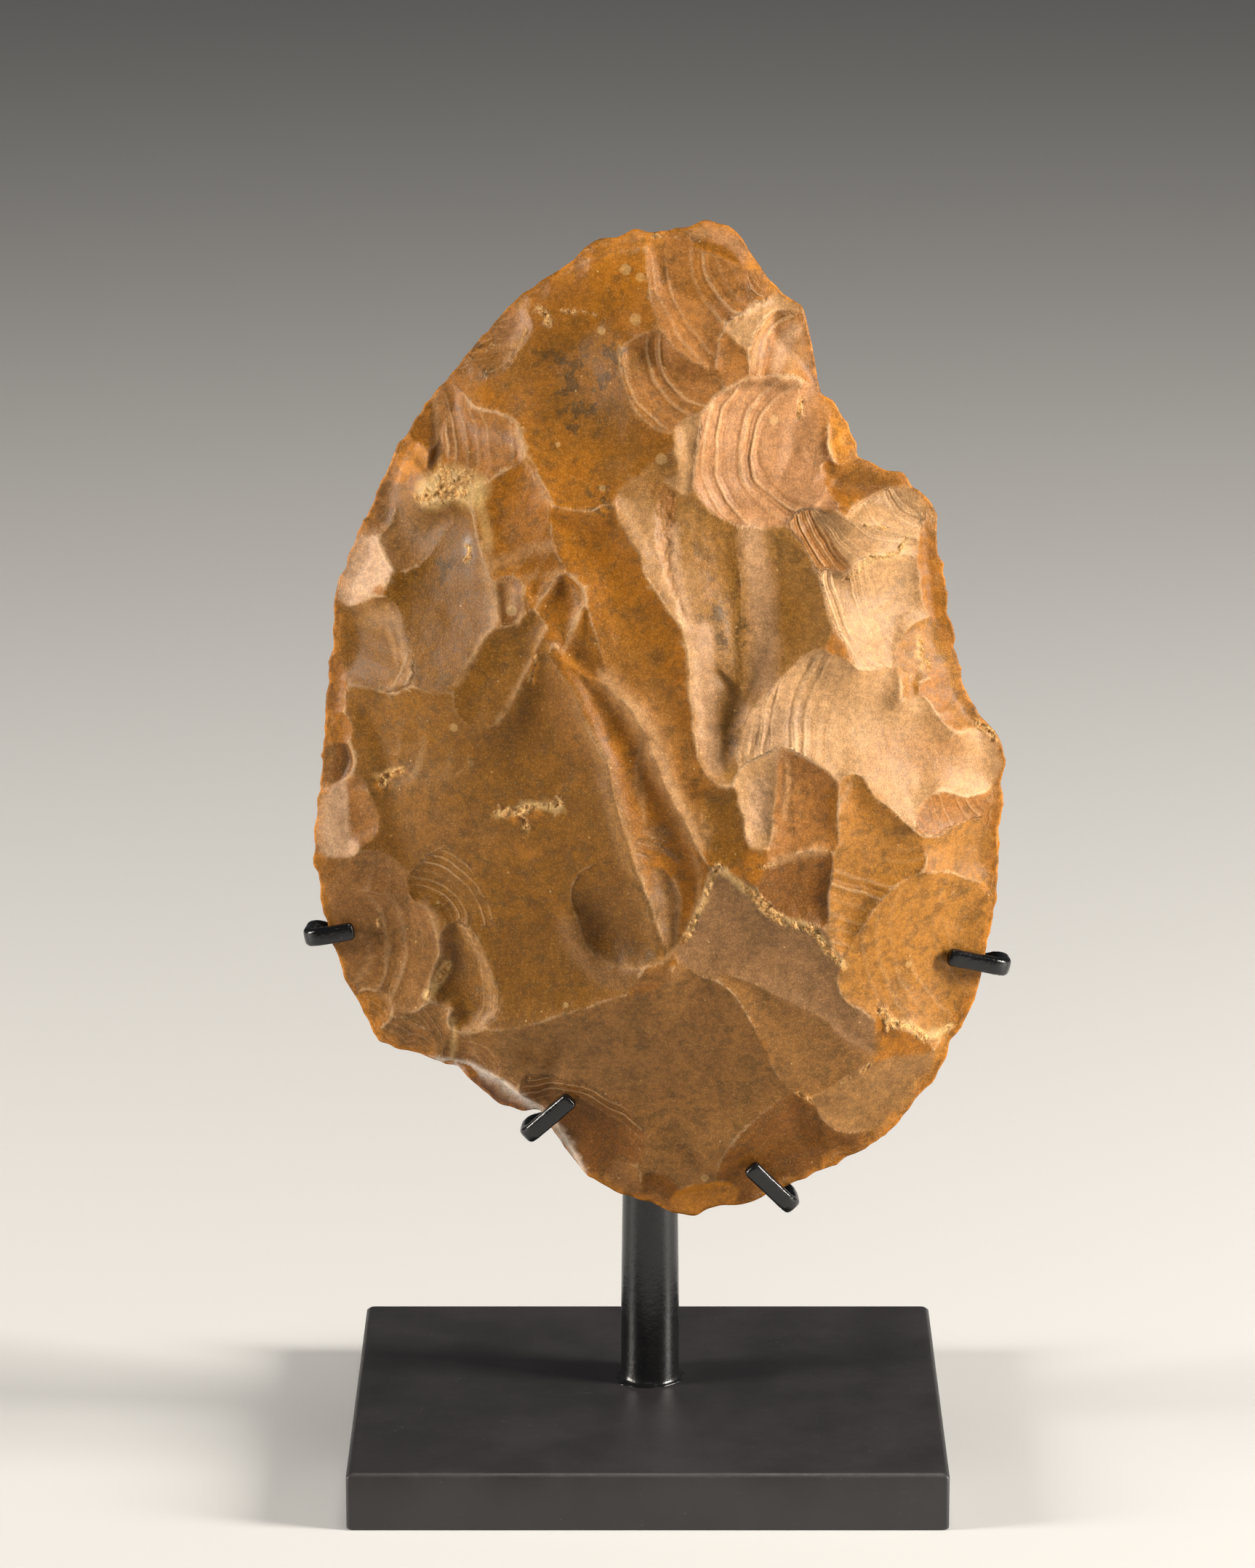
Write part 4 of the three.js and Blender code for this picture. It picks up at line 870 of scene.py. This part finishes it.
# ------------------------------------------------------------------ finishes
class Value:
    """A node's output that Python's own operators work on."""

    def __init__(self, finish, socket):
        self.finish = finish
        self.socket = socket

    def math(self, operation, *others):
        sockets = {i: v for i, v in enumerate((self,) + others)}
        return self.finish.node("ShaderNodeMath", {"operation": operation}, sockets)

    def __add__(self, other):
        return self.math("ADD", other)

    __radd__ = __add__

    def __mul__(self, other):
        return self.math("MULTIPLY", other)

    __rmul__ = __mul__

    def __sub__(self, other):
        return self.math("SUBTRACT", other)

    def __rsub__(self, other):
        return self.finish.node("ShaderNodeMath", {"operation": "SUBTRACT"}, {0: other, 1: self})

    def peak(self, other):
        return self.math("MAXIMUM", other)

    def least(self, other):
        return self.math("MINIMUM", other)

    def between(self, low, high):
        """0 below low, 1 above high, eased between. Low above high turns it round."""
        return self.finish.node("ShaderNodeMapRange", {"interpolation_type": "SMOOTHSTEP"},
                                {"Value": self, "From Min": low, "From Max": high})


class Finish:
    """A material and the ways its nodes are made."""

    def __init__(self, name):
        self.material = bpy.data.materials.new(name)
        self.material.use_nodes = True
        self.tree = self.material.node_tree
        self.tree.nodes.clear()

    def node(self, kind, settings, sockets, out=0):
        made = self.tree.nodes.new(kind)
        for key, setting in settings.items():
            setattr(made, key, setting)
        for key, entry in sockets.items():
            if isinstance(entry, Value):
                self.tree.links.new(entry.socket, made.inputs[key])
            else:
                made.inputs[key].default_value = entry
        return Value(self, made.outputs[out])

    def place(self):
        """Position on the piece in millimetres."""
        spot = self.node("ShaderNodeTexCoord", {}, {}, "Object")
        return self.node("ShaderNodeVectorMath", {"operation": "SCALE"}, {0: spot, "Scale": 1000.0})

    def noise(self, where, size, detail=3.0, rough=0.5, stretch=None):
        """Random field with lumps of a size in millimetres."""
        if stretch:
            where = self.node("ShaderNodeVectorMath", {"operation": "MULTIPLY"}, {0: where, 1: stretch})
        return self.node("ShaderNodeTexNoise", {}, {"Vector": where, "Scale": 1.0 / size, "Detail": detail,
                                                     "Roughness": rough})

    def cells(self, where, size):
        """Distance to the nearest of scattered points, a size in millimetres apart."""
        return self.node("ShaderNodeTexVoronoi", {}, {"Vector": where, "Scale": 1.0 / size}, "Distance")

    def field(self, name):
        return self.node("ShaderNodeAttribute", {"attribute_name": name}, {}, "Fac")

    def blend(self, share, under, over):
        return self.node("ShaderNodeMix", {"data_type": "RGBA"}, {0: share, 6: under, 7: over}, 2)

    def dim(self, colour, share, amount):
        """Multiply a colour by an amount where share says."""
        grey = (amount, amount, amount, 1.0)
        return self.node("ShaderNodeMix", {"data_type": "RGBA", "blend_type": "MULTIPLY"},
                         {0: share, 6: colour, 7: grey}, 2)

    def near(self, where, centre, reach, squeeze=(1, 1, 1)):
        """1 at a centre, falling to 0 at a reach in millimetres."""
        away = self.node("ShaderNodeVectorMath", {"operation": "SUBTRACT"}, {0: where, 1: tuple(centre)})
        away = self.node("ShaderNodeVectorMath", {"operation": "MULTIPLY"}, {0: away, 1: squeeze})
        length = self.node("ShaderNodeVectorMath", {"operation": "LENGTH"}, {0: away}, "Value")
        return length.between(reach, 0.0)

    def bump(self, height, strength, depth_mm):
        return self.node("ShaderNodeBump", {},
                         {"Height": height, "Strength": strength, "Distance": depth_mm * MM})

    def surface(self, sockets):
        shader = self.node("ShaderNodeBsdfPrincipled", {}, sockets)
        output = self.tree.nodes.new("ShaderNodeOutputMaterial")
        self.tree.links.new(shader.socket, output.inputs["Surface"])
        return self.material


CREAM = srgb(236, 196, 130)
# Pale for painted highlights on ridges and ripple crests, and for pale grain in the stone.
PALE_HIGHLIGHT_AND_GRAIN = srgb(232, 190, 140)
DARK_OLIVE = srgb(92, 66, 30)
# Orange for a painted glow, as of light shining through the thin flint margin.
EDGE_GLOW_ORANGE = srgb(226, 144, 50)
RUST = srgb(176, 112, 46)
BLUE_GREY = srgb(112, 98, 88)

# Small round fossils and specks seen in the flint: right, up, radius.
SPECKS = [
    (-3.6, 76.2, 1.1), (-1.2, 75, 0.9), (-2, 68.4, 1.1), (-7.5, 66.5, 0.8), (2.2, 46.7, 1.1),
    (20.5, 52, 1.0), (-14.5, 48.6, 0.5), (-22, 22.3, 1.0), (-31.5, 2.7, 0.8), (-7.3, 42, 0.6),
    (9.5, -75, 0.8), (43, -38, 0.7), (-13.5, -43.7, 0.6), (-34.5, -27.7, 0.4),
]
# Darker clouds in the flint: right, up, radius.
CLOUDS = [
    (-6, 63, 4), (-15, 62, 5), (-27.5, 61, 4), (-8, 59, 4), (-12, 54, 6), (-8, 40, 4), (-34, 28, 6),
    (-10, 57, 9), (12, 18, 7), (14, 4, 6),
]


def flint_finish():
    f = Finish("knapped_flint")
    where = f.node("ShaderNodeAttribute", {"attribute_name": "on_axe"}, {}, "Vector")
    colour = f.node("ShaderNodeAttribute", {"attribute_name": "body"}, {}, "Color")
    ridge = f.field("ridge")
    hollow_shade = f.field("hollow_shade")
    thin = f.field("thin")
    crushed = f.field("crushed")
    broad = f.noise(where, 16, 3, 0.5)
    middle = f.noise(where, 4, 5, 0.6)
    fine = f.noise(where, 1.0, 4, 0.65)
    grain = f.noise(where, 0.28, 3, 0.6)
    colour = f.dim(colour, broad.between(0.62, 0.38) * 0.6, 0.78)
    lift = f.field("wave_lift")
    turns = f.field("wave_count") * TURN + (fine - 0.5) * 1.2
    crest = turns.math("SINE")
    swell = lift * (crest + (turns * 2.7 + broad * 9).math("SINE") * 0.4 + (turns * 1.6).math("SINE") * 0.3)
    spots = f.noise(where, 2.3, 3, 0.6)
    mottle = spots.between(0.48, 0.64) * broad.between(0.34, 0.5)
    clear = f.field("clear")
    cloud = mottle * clear * 0.42
    for x, y, reach in CLOUDS:
        round_it = f.near(where, (x, y, 14), reach * 1.3, (1, 1, 0.05))
        cloud = cloud.peak(round_it * (0.2 + mottle * 1.3) * clear)
    colour = f.blend(cloud.least(0.8), colour, DARK_OLIVE)
    # Painted shade: concave places are darkened as if shadowed.
    colour = f.dim(colour, hollow_shade * 0.4, 0.76)
    colour = f.blend(f.near(where, (-29, 31, 10), 3.6, (1.6, 0.7, 0.05)) * 0.6, colour, BLUE_GREY)
    # Pale along sharp ridges: partly wear on the arrises, partly a painted highlight.
    colour = f.blend(ridge.between(0.1, 1.0) * (0.1 + broad.between(0.4, 0.6) * 0.4), colour, PALE_HIGHLIGHT_AND_GRAIN)
    # Painted highlight: ripple crests made paler as if catching the light.
    colour = f.blend((lift * 5).least(0.35) * crest.between(0.4, 1.0), colour, PALE_HIGHLIGHT_AND_GRAIN)
    # Painted glow: thin margins made brighter orange, as light shining through thin flint.
    colour = f.blend(thin * middle.between(0.42, 0.62) * 0.5, colour, EDGE_GLOW_ORANGE)
    crumb = f.noise(where, 0.5, 3, 0.7)
    chalk = f.blend(crumb.between(0.35, 0.7), RUST, CREAM)
    colour = f.blend(crushed * crumb.between(0.3, 0.45), colour, chalk)
    dots = f.near(where, (0, 200, 0), 0.1)
    for x, y, reach in SPECKS:
        dots = dots.peak(f.near(where, (x, y, 14), reach * 1.3, (1, 1, 0.02)).between(0.1, 0.45))
    colour = f.blend(dots * 0.3, colour, CREAM)
    fleck = f.cells(where, 2.6).between(0.09, 0.04) * f.noise(where, 7, 2).between(0.42, 0.58)
    colour = f.blend(fleck * 0.5, colour, CREAM)
    colour = f.dim(colour, grain.between(0.6, 0.4) * 0.9, 0.76)
    colour = f.dim(colour, fine.between(0.6, 0.38) * 0.8, 0.76)
    colour = f.dim(colour, middle.between(0.58, 0.4) * 0.5, 0.8)
    colour = f.blend(grain.between(0.56, 0.72) * 0.16, colour, PALE_HIGHLIGHT_AND_GRAIN)
    rough = 0.48 + (fine - 0.5) * 0.2 + crushed * 0.35
    relief = (fine * 0.8 + grain * 0.6 + middle * 0.15) * 0.08 + swell * 0.55 + crushed * crumb * 0.3
    return f.surface({
        "Base Color": colour, "Roughness": rough, "Normal": f.bump(relief, 1.0, 1.0),
        "Specular IOR Level": 0.22,
    })


def paint_finish(name, tone, rough, hammer):
    """Black paint with orange peel, dust and fine scratches."""
    f = Finish(name)
    where = f.place()
    peel = f.noise(where, 0.5, 2, 0.5) + f.noise(where, 1.5, 2, 0.5) * 1.4
    broad = f.noise(where, 14, 3)
    dust = f.cells(where, 1.6).between(0.08, 0.03) * f.noise(where, 6, 2).between(0.5, 0.62)
    hair = f.noise(where, 0.22, 2, 0.5, stretch=(0.05, 1, 1)).between(0.72, 0.78)
    hair = hair * f.noise(where, 9, 2).between(0.5, 0.6)
    colour = f.blend(broad.between(0.3, 0.7), srgb(*tone), srgb(*(c + 7 for c in tone)))
    colour = f.blend((dust * 0.6).peak(hair * 0.25), colour, srgb(124, 118, 110))
    worn = rough + (broad - 0.5) * 0.2 + (peel - 1.2) * 0.1 + dust * 0.3
    return f.surface({"Base Color": colour, "Roughness": worn, "Normal": f.bump(peel, 1.0, hammer)})


flint = flint_finish()
block_paint = paint_finish("satin_black_block", (40, 38, 39), 0.42, 0.018)
rod_paint = paint_finish("satin_black_rod", (15, 15, 16), 0.26, 0.03)
strip_paint = paint_finish("satin_black_strip", (13, 13, 14), 0.24, 0.05)


# ------------------------------------------------------------------ the axe
# Squares across each face before thinning, and triangles left after it.
AXE_GRID, AXE_GRID_QUICK = 420, 240
AXE_TRIANGLES = 188000
# Points this near the middle plane, in millimetres, are on the sharp rim.
RIM_REACH = 0.12


def disc_grid(count):
    """A square grid bent into a disc: turn and share of the way out for each point."""
    s, t = np.meshgrid(np.linspace(-1, 1, count + 1), np.linspace(-1, 1, count + 1))
    out = np.maximum(np.abs(s), np.abs(t))
    safe_s = np.where(s == 0, 1e-9, s)
    safe_t = np.where(t == 0, 1e-9, t)
    sideways = np.abs(s) > np.abs(t)
    turn = np.where(sideways, math.pi / 4 * (t / safe_s) + np.where(s < 0, math.pi, 0),
                    math.pi / 2 - math.pi / 4 * (s / safe_t) + np.where(t < 0, math.pi, 0))
    return turn, out


def hand_axe():
    count = AXE_GRID
    turn, out = disc_grid(count)
    reach = out * at_angle(margin_ring, turn)
    x, y = reach * np.cos(turn), reach * np.sin(turn)
    rim = out > 1 - 1e-9
    middle = sample(WANDER, x, y)
    z_front = np.where(rim, middle, sample(FRONT_Z, x, y))
    z_back = sample(BACK_Z, x, y)
    n = count + 1
    index_front = np.arange(n * n).reshape(n, n)
    inner = ~rim
    index_back = index_front.copy()
    index_back[inner] = n * n + np.arange(inner.sum())
    points = np.concatenate([np.stack([x, y, z_front], -1).reshape(-1, 3),
                             np.stack([x, y, z_back], -1)[inner]])
    quads = []
    for grid, flip in ((index_front, False), (index_back, True)):
        q = np.stack([grid[:-1, :-1], grid[:-1, 1:], grid[1:, 1:], grid[1:, :-1]], -1).reshape(-1, 4)
        quads.append(q[:, ::-1] if flip else q)
    quads = np.vstack(quads)
    mesh = bpy.data.meshes.new("rough_axe")
    mesh.vertices.add(len(points))
    mesh.vertices.foreach_set("co", (from_axe(points) * MM).astype(np.float32).ravel())
    mesh.loops.add(len(quads) * 4)
    mesh.loops.foreach_set("vertex_index", quads.astype(np.int32).ravel())
    mesh.polygons.add(len(quads))
    mesh.polygons.foreach_set("loop_start", np.arange(0, len(quads) * 4, 4, dtype=np.int32))
    mesh.update(calc_edges=True)
    mesh.validate()
    rough = bpy.data.objects.new("rough_axe", mesh)
    bpy.context.scene.collection.objects.link(rough)
    thin = rough.modifiers.new("thin", "DECIMATE")
    thin.ratio = min(1.0, AXE_TRIANGLES / (2 * len(quads)))
    done = bpy.data.meshes.new_from_object(rough.evaluated_get(bpy.context.evaluated_depsgraph_get()))
    bpy.data.objects.remove(rough)
    done.name = "flint_hand_axe"
    return done


def dress_axe(mesh):
    """Give the axe's points the fields its finish reads, and the true surface's normals."""
    count = len(mesh.vertices)
    co = np.empty(count * 3, np.float32)
    mesh.vertices.foreach_get("co", co)
    world = co.reshape(-1, 3).astype(float) / MM - AXE_CENTRE
    x, y, z = world @ RIGHT, world @ UP, world @ FRONT
    on_front = z > sample(WANDER, x, y)
    rim = np.abs(z - sample(WANDER, x, y)) < RIM_REACH

    def pick(front_field, back_field):
        return np.where(on_front, sample(front_field, x, y), sample(back_field, x, y))

    def curve(field, size):
        return (field - blur(field, size)) / size

    place = mesh.attributes.new("on_axe", "FLOAT_VECTOR", "POINT")
    place.data.foreach_set("vector", np.stack([x, y, z], 1).astype(np.float32).ravel())
    tones = [pick(blur(front.body[..., k], 0.15), blur(back.body[..., k], 0.15)) for k in range(3)]
    body = mesh.attributes.new("body", "FLOAT_COLOR", "POINT")
    tones_and_alpha = np.clip(np.stack(tones + [np.ones(count)], 1), 0, 1)
    body.data.foreach_set("color", tones_and_alpha.astype(np.float32).ravel())
    add_field(mesh, "clear", np.clip((0.085 - tones[2]) / 0.05, 0, 1))
    sharp = pick(curve(FRONT_Z, 0.35), -curve(BACK_Z, 0.35))
    wide = pick(curve(FRONT_Z, 2.5), -curve(BACK_Z, 2.5))
    # A mask of sharp ridges, for the pale worn arrises and painted highlights in the finish.
    add_field(mesh, "ridge", np.clip(sharp * 6 - 0.4, 0, 1))
    # A mask of concave places, for the painted shade in the flint finish.
    add_field(mesh, "hollow_shade", np.clip(-wide * 5, 0, 1))
    gap = sample(INSIDE, x, y)
    # How thin the margin is, for the painted glow in the finish.
    add_field(mesh, "thin", np.clip(1 - gap / 2.2, 0, 1) ** 1.5)
    add_field(mesh, "crushed", pick(front.crushed, back.crushed))
    add_field(mesh, "wave_lift", pick(front.wave_lift, back.wave_lift))
    add_field(mesh, "wave_count", pick(front.wave_count, back.wave_count))

    def slope(field, sign):
        dy, dx = np.gradient(field, STEP)
        across, along = sample(dx, x, y), sample(dy, x, y)
        return np.stack([-across, -along, np.ones(count)], 1) * sign

    local = np.where(on_front[:, None], slope(FRONT_Z, 1), slope(BACK_Z, -1))
    local /= np.linalg.norm(local, axis=1)[:, None]
    facing = local[:, :1] * RIGHT + local[:, 1:2] * UP + local[:, 2:3] * FRONT
    own = np.empty(count * 3, np.float32)
    mesh.vertex_normals.foreach_get("vector", own)
    facing = np.where(rim[:, None], own.reshape(-1, 3), facing)
    mesh.polygons.foreach_set("use_smooth", [True] * len(mesh.polygons))
    mesh.normals_split_custom_set_from_vertices([tuple(v) for v in facing])


axe_mesh = hand_axe()
dress_axe(axe_mesh)
axe_mesh.materials.append(flint)
axe = bpy.data.objects.new("flint_hand_axe", axe_mesh)
bpy.context.scene.collection.objects.link(axe)
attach(axe, "root")
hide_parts("hand_axe")


# ------------------------------------------------------------------ the stand
def skin(rings):
    """Faces over rings of equal count, with both ends closed by one face."""
    n = len(rings[0])
    points = np.vstack(rings)
    faces = []
    for k in range(len(rings) - 1):
        a, b = k * n, (k + 1) * n
        faces += [(a + i, a + (i + 1) % n, b + (i + 1) % n, b + i) for i in range(n)]
    faces.append(tuple(range(n - 1, -1, -1)))
    last = (len(rings) - 1) * n
    faces.append(tuple(last + i for i in range(n)))
    return points, faces


def base_block():
    """Flat block with a bright sharp chamfer on top and softened corners."""
    def loop(inset, z, radius=0.7):
        ring = []
        for corner, (sx, sy) in enumerate(((1, 1), (-1, 1), (-1, -1), (1, -1))):
            for k in range(7):
                a = (corner + k / 6) * math.pi / 2
                ring.append((sx * (BASE_WIDE / 2 - radius - inset) + math.cos(a) * radius,
                             sy * (BASE_DEEP / 2 - radius - inset) + math.sin(a) * radius, z))
        return ring

    rings = [loop(0.45, 0.0), loop(0.2, 0.08), loop(0.05, 0.25), loop(0.0, 0.5)]
    rings += [loop(0.0, 9.25), loop(0.05, 9.38), loop(0.6, 9.93)]
    rings += [loop(0.75, BASE_HIGH), loop(1.5, BASE_HIGH)]
    points, faces = skin(rings)
    return new_piece("base_block_body", points, faces, block_paint, "base_block")


def post():
    """Round rod, ground a little thinner toward the top, with a bead round its foot."""
    n = 96
    around = np.arange(n) * TURN / n
    rng = np.random.default_rng(5)
    pitch = np.minimum(np.arange(n), n - np.arange(n))
    lumps = np.real(np.fft.ifft(np.fft.fft(rng.normal(size=n)) * np.exp(-(pitch / 14.0) ** 2)))
    lumps = lumps / lumps.std()
    foot, neck, top = POST_FOOT_RADIUS, POST_NECK_RADIUS, POST_TOP_Z
    # Radius, height and lumpiness: the bead, the rod, and its rounded top.
    profile = [(6.0, BASE_HIGH, 0.25), (5.75, 10.1, 0.22), (5.4, 10.3, 0.15), (5.15, 10.62, 0.08),
               (5.03, 11.1, 0.02)]
    profile += [(foot, 12.0, 0), (foot, 18.0, 0), (4.97, 24.0, 0), (4.8, 38.0, 0), (4.6, 50.0, 0)]
    profile += [(neck, 56, 0), (neck, 79.0, 0), (4.45, 79.5, 0), (4.1, 79.9, 0), (3.6, top, 0)]
    rings = []
    for radius, z, rough in profile:
        r = radius + rough * lumps
        rings.append(np.stack([POST_X + r * np.cos(around), POST_Y + r * np.sin(around), np.full(n, z)], 1))
    points, faces = skin(rings)
    return new_piece("round_post", points, faces, rod_paint, "post")


def unit(v):
    return v / np.linalg.norm(v)


def bent_path(corners, bend):
    """Path through corners with each bent round. Gives points and side directions."""
    places, sides = [corners[0][0]], [corners[0][1]]
    for i in range(1, len(corners) - 1):
        here, side = corners[i]
        before, after = corners[i - 1][0] - here, corners[i + 1][0] - here
        a = here + unit(before) * min(bend, np.linalg.norm(before) * 0.45)
        b = here + unit(after) * min(bend, np.linalg.norm(after) * 0.45)
        for t in np.linspace(0, 1, 11):
            places.append(a * (1 - t) ** 2 + here * 2 * t * (1 - t) + b * t * t)
            sides.append(side)
    places.append(corners[-1][0])
    sides.append(corners[-1][1])
    return places, sides


def strip_section():
    """Rounded rectangle. The higher the power, the squarer its corners."""
    count, power = 28, 3.4
    a = np.arange(count) * TURN / count
    c, s = np.cos(a), np.sin(a)
    return np.stack([np.sign(c) * np.abs(c) ** (2 / power) * STRIP_WIDE / 2,
                     np.sign(s) * np.abs(s) ** (2 / power) * STRIP_THICK / 2], 1)


def strip(name, corners, bend, node):
    """Flat strip carried along a bent path with a rounded tip."""
    places, sides = bent_path(corners, bend)
    fine_places, fine_sides = [places[0]], [sides[0]]
    for p, q, s, t in zip(places[:-1], places[1:], sides[:-1], sides[1:]):
        steps = max(1, int(np.linalg.norm(q - p) / 0.8))
        for k in range(1, steps + 1):
            fine_places.append(p + (q - p) * k / steps)
            fine_sides.append(s + (t - s) * k / steps)
    section = strip_section()
    rings = []
    rng = np.random.default_rng(len(name))
    for i, (p, s) in enumerate(zip(fine_places, fine_sides)):
        along = unit(fine_places[min(i + 1, len(fine_places) - 1)] - fine_places[max(i - 1, 0)])
        side = unit(s - along * np.dot(s, along))
        up = np.cross(side, along)
        if i == 0:
            for back, scale in ((0.0, 0.30), (0.06, 0.62), (0.2, 0.82), (0.42, 0.94), (0.7, 1.0)):
                rings.append(p + along * back + section[:, :1] * side * scale + section[:, 1:] * up * scale)
            continue
        if np.linalg.norm(p - fine_places[0]) < 0.9:
            continue
        dent = 1 + 0.012 * rng.normal()
        rings.append(p + section[:, :1] * side * dent + section[:, 1:] * up * dent)
    points, faces = skin(rings)
    faces = [face[::-1] for face in faces]
    return new_piece(name, points, faces, strip_paint, node)


def finger_rest(tip, outer):
    """Heights at a finger's two ends that lay it on the flint with a hair of gap."""
    tip, outer = np.array(tip), np.array(outer)
    side = unit(np.array([-(outer - tip)[1], (outer - tip)[0]]))
    start = sample(FRONT_Z, tip[:1], tip[1:])[0]
    end = sample(WANDER, outer[:1], outer[1:])[0]
    t, w = np.meshgrid(np.linspace(0, 1, 25), np.linspace(-1, 1, 7))
    x = tip[0] + (outer - tip)[0] * t + side[0] * w * STRIP_WIDE / 2
    y = tip[1] + (outer - tip)[1] * t + side[1] * w * STRIP_WIDE / 2
    over = np.where(sample(INSIDE, x, y) > 0, sample(FRONT_Z, x, y) - (start + (end - start) * t), 0)
    rise = over.max() + TOUCH_GAP + STRIP_THICK * 0.62
    return start + rise, end + rise


def prong(name, node, tip, outer, arm_z, arm_side, mid):
    """Finger on the front, turn round the margin, arm behind to the post."""
    tip_h, outer_h = finger_rest(tip, outer)
    across = unit(-(outer[1] - tip[1]) * RIGHT + (outer[0] - tip[0]) * UP)
    inward = unit(np.array([tip[0] - outer[0], tip[1] - outer[1]]))
    end = np.array([POST_X + arm_side * (POST_NECK_RADIUS - 0.5), POST_Y, arm_z])
    standing = np.array([0, 0, float(arm_side)])
    standing = standing * (-1 if np.dot(across, standing) < 0 else 1)
    corners = [
        (from_axe([tip[0], tip[1], tip_h]), across),
        (from_axe([outer[0], outer[1], outer_h]), across),
        (from_axe([outer[0] + inward[0] * 0.6, outer[1] + inward[1] * 0.6, -STRIP_THICK - 4.2]), across),
        (from_axe(mid), across * 0.4 + standing * 0.6),
        (end, standing),
    ]
    return strip(name, corners, 2.2, node)


stand = [
    base_block(),
    post(),
    prong("upper_left_strip", "prong_upper_left", (-48.4, -32.8), (-56, -34.3), 74, -1, (-22, -48, -21)),
    prong("upper_right_strip", "prong_upper_right", (49.6, -37.2), (59.3, -39.7), 72, 1, (24, -50, -21)),
    prong("lower_left_strip", "prong_lower_left", (-12.6, -61.2), (-20, -68.2), 60, -1, (-11, -69, -20)),
    prong("lower_right_strip", "prong_lower_right", (16.9, -72.6), (24.0, -80.2), 58, 1, (14, -74, -20)),
]


# ------------------------------------------------------------------ floor, light and camera
def stage_floor():
    mesh = bpy.data.meshes.new("floor")
    mesh.from_pydata([(-6, -6, 0), (6, -6, 0), (6, 6, 0), (-6, 6, 0)], [], [(0, 1, 2, 3)])
    floor = bpy.data.objects.new("floor", mesh)
    bpy.context.scene.collection.objects.link(floor)
    f = Finish("pale_floor")
    mesh.materials.append(f.surface({"Base Color": srgb(206, 205, 203), "Roughness": 0.6}))


AIM = (0, 0, 0.12)
WARM = (1.0, 0.95, 0.88)
# Lamps: name, place, width and height in metres, watts.
LAMPS = [
    ("left_soft", (-1.0, -0.2, 0.42), (0.25, 0.5), 15),
    ("right_soft", (1.0, -0.24, 0.46), (0.25, 0.5), 25),
    ("top_soft", (0.1, -0.20, 1.3), (0.4, 0.4), 5),
    ("front_fill", (0.1, -1.6, 0.9), (1.2, 0.8), 1.2),
]


def area_light(name, spot, size, power):
    """A warm soft lamp that looks at the axe."""
    data = bpy.data.lights.new(name, "AREA")
    data.shape = "RECTANGLE"
    data.size, data.size_y = size
    data.energy = power
    data.color = WARM
    lamp = bpy.data.objects.new(name, data)
    lamp.location = spot
    lamp.rotation_euler = (Vector(AIM) - Vector(spot)).to_track_quat("-Z", "Y").to_euler()
    bpy.context.scene.collection.objects.link(lamp)


stage_floor()
for lamp_row in LAMPS:
    area_light(*lamp_row)
world = bpy.data.worlds.new("studio")
world.use_nodes = True
world.node_tree.nodes["Background"].inputs["Color"].default_value = (0.9, 0.93, 1.0, 1)
world.node_tree.nodes["Background"].inputs["Strength"].default_value = 0.05
bpy.context.scene.world = world
bpy.context.scene.view_settings.view_transform = "Standard"

camera_data = bpy.data.cameras.new("camera")
CAMERA_PITCH = math.radians(15.5)
camera_data.sensor_width = 36
camera_data.lens = 138.29
camera_data.shift_x = -0.0129
camera = bpy.data.objects.new("camera", camera_data)
camera.location = (0, -0.9693, 0.3862)
camera.rotation_euler = (math.pi / 2 - CAMERA_PITCH, 0, 0)
bpy.context.scene.collection.objects.link(camera)
bpy.context.scene.camera = camera
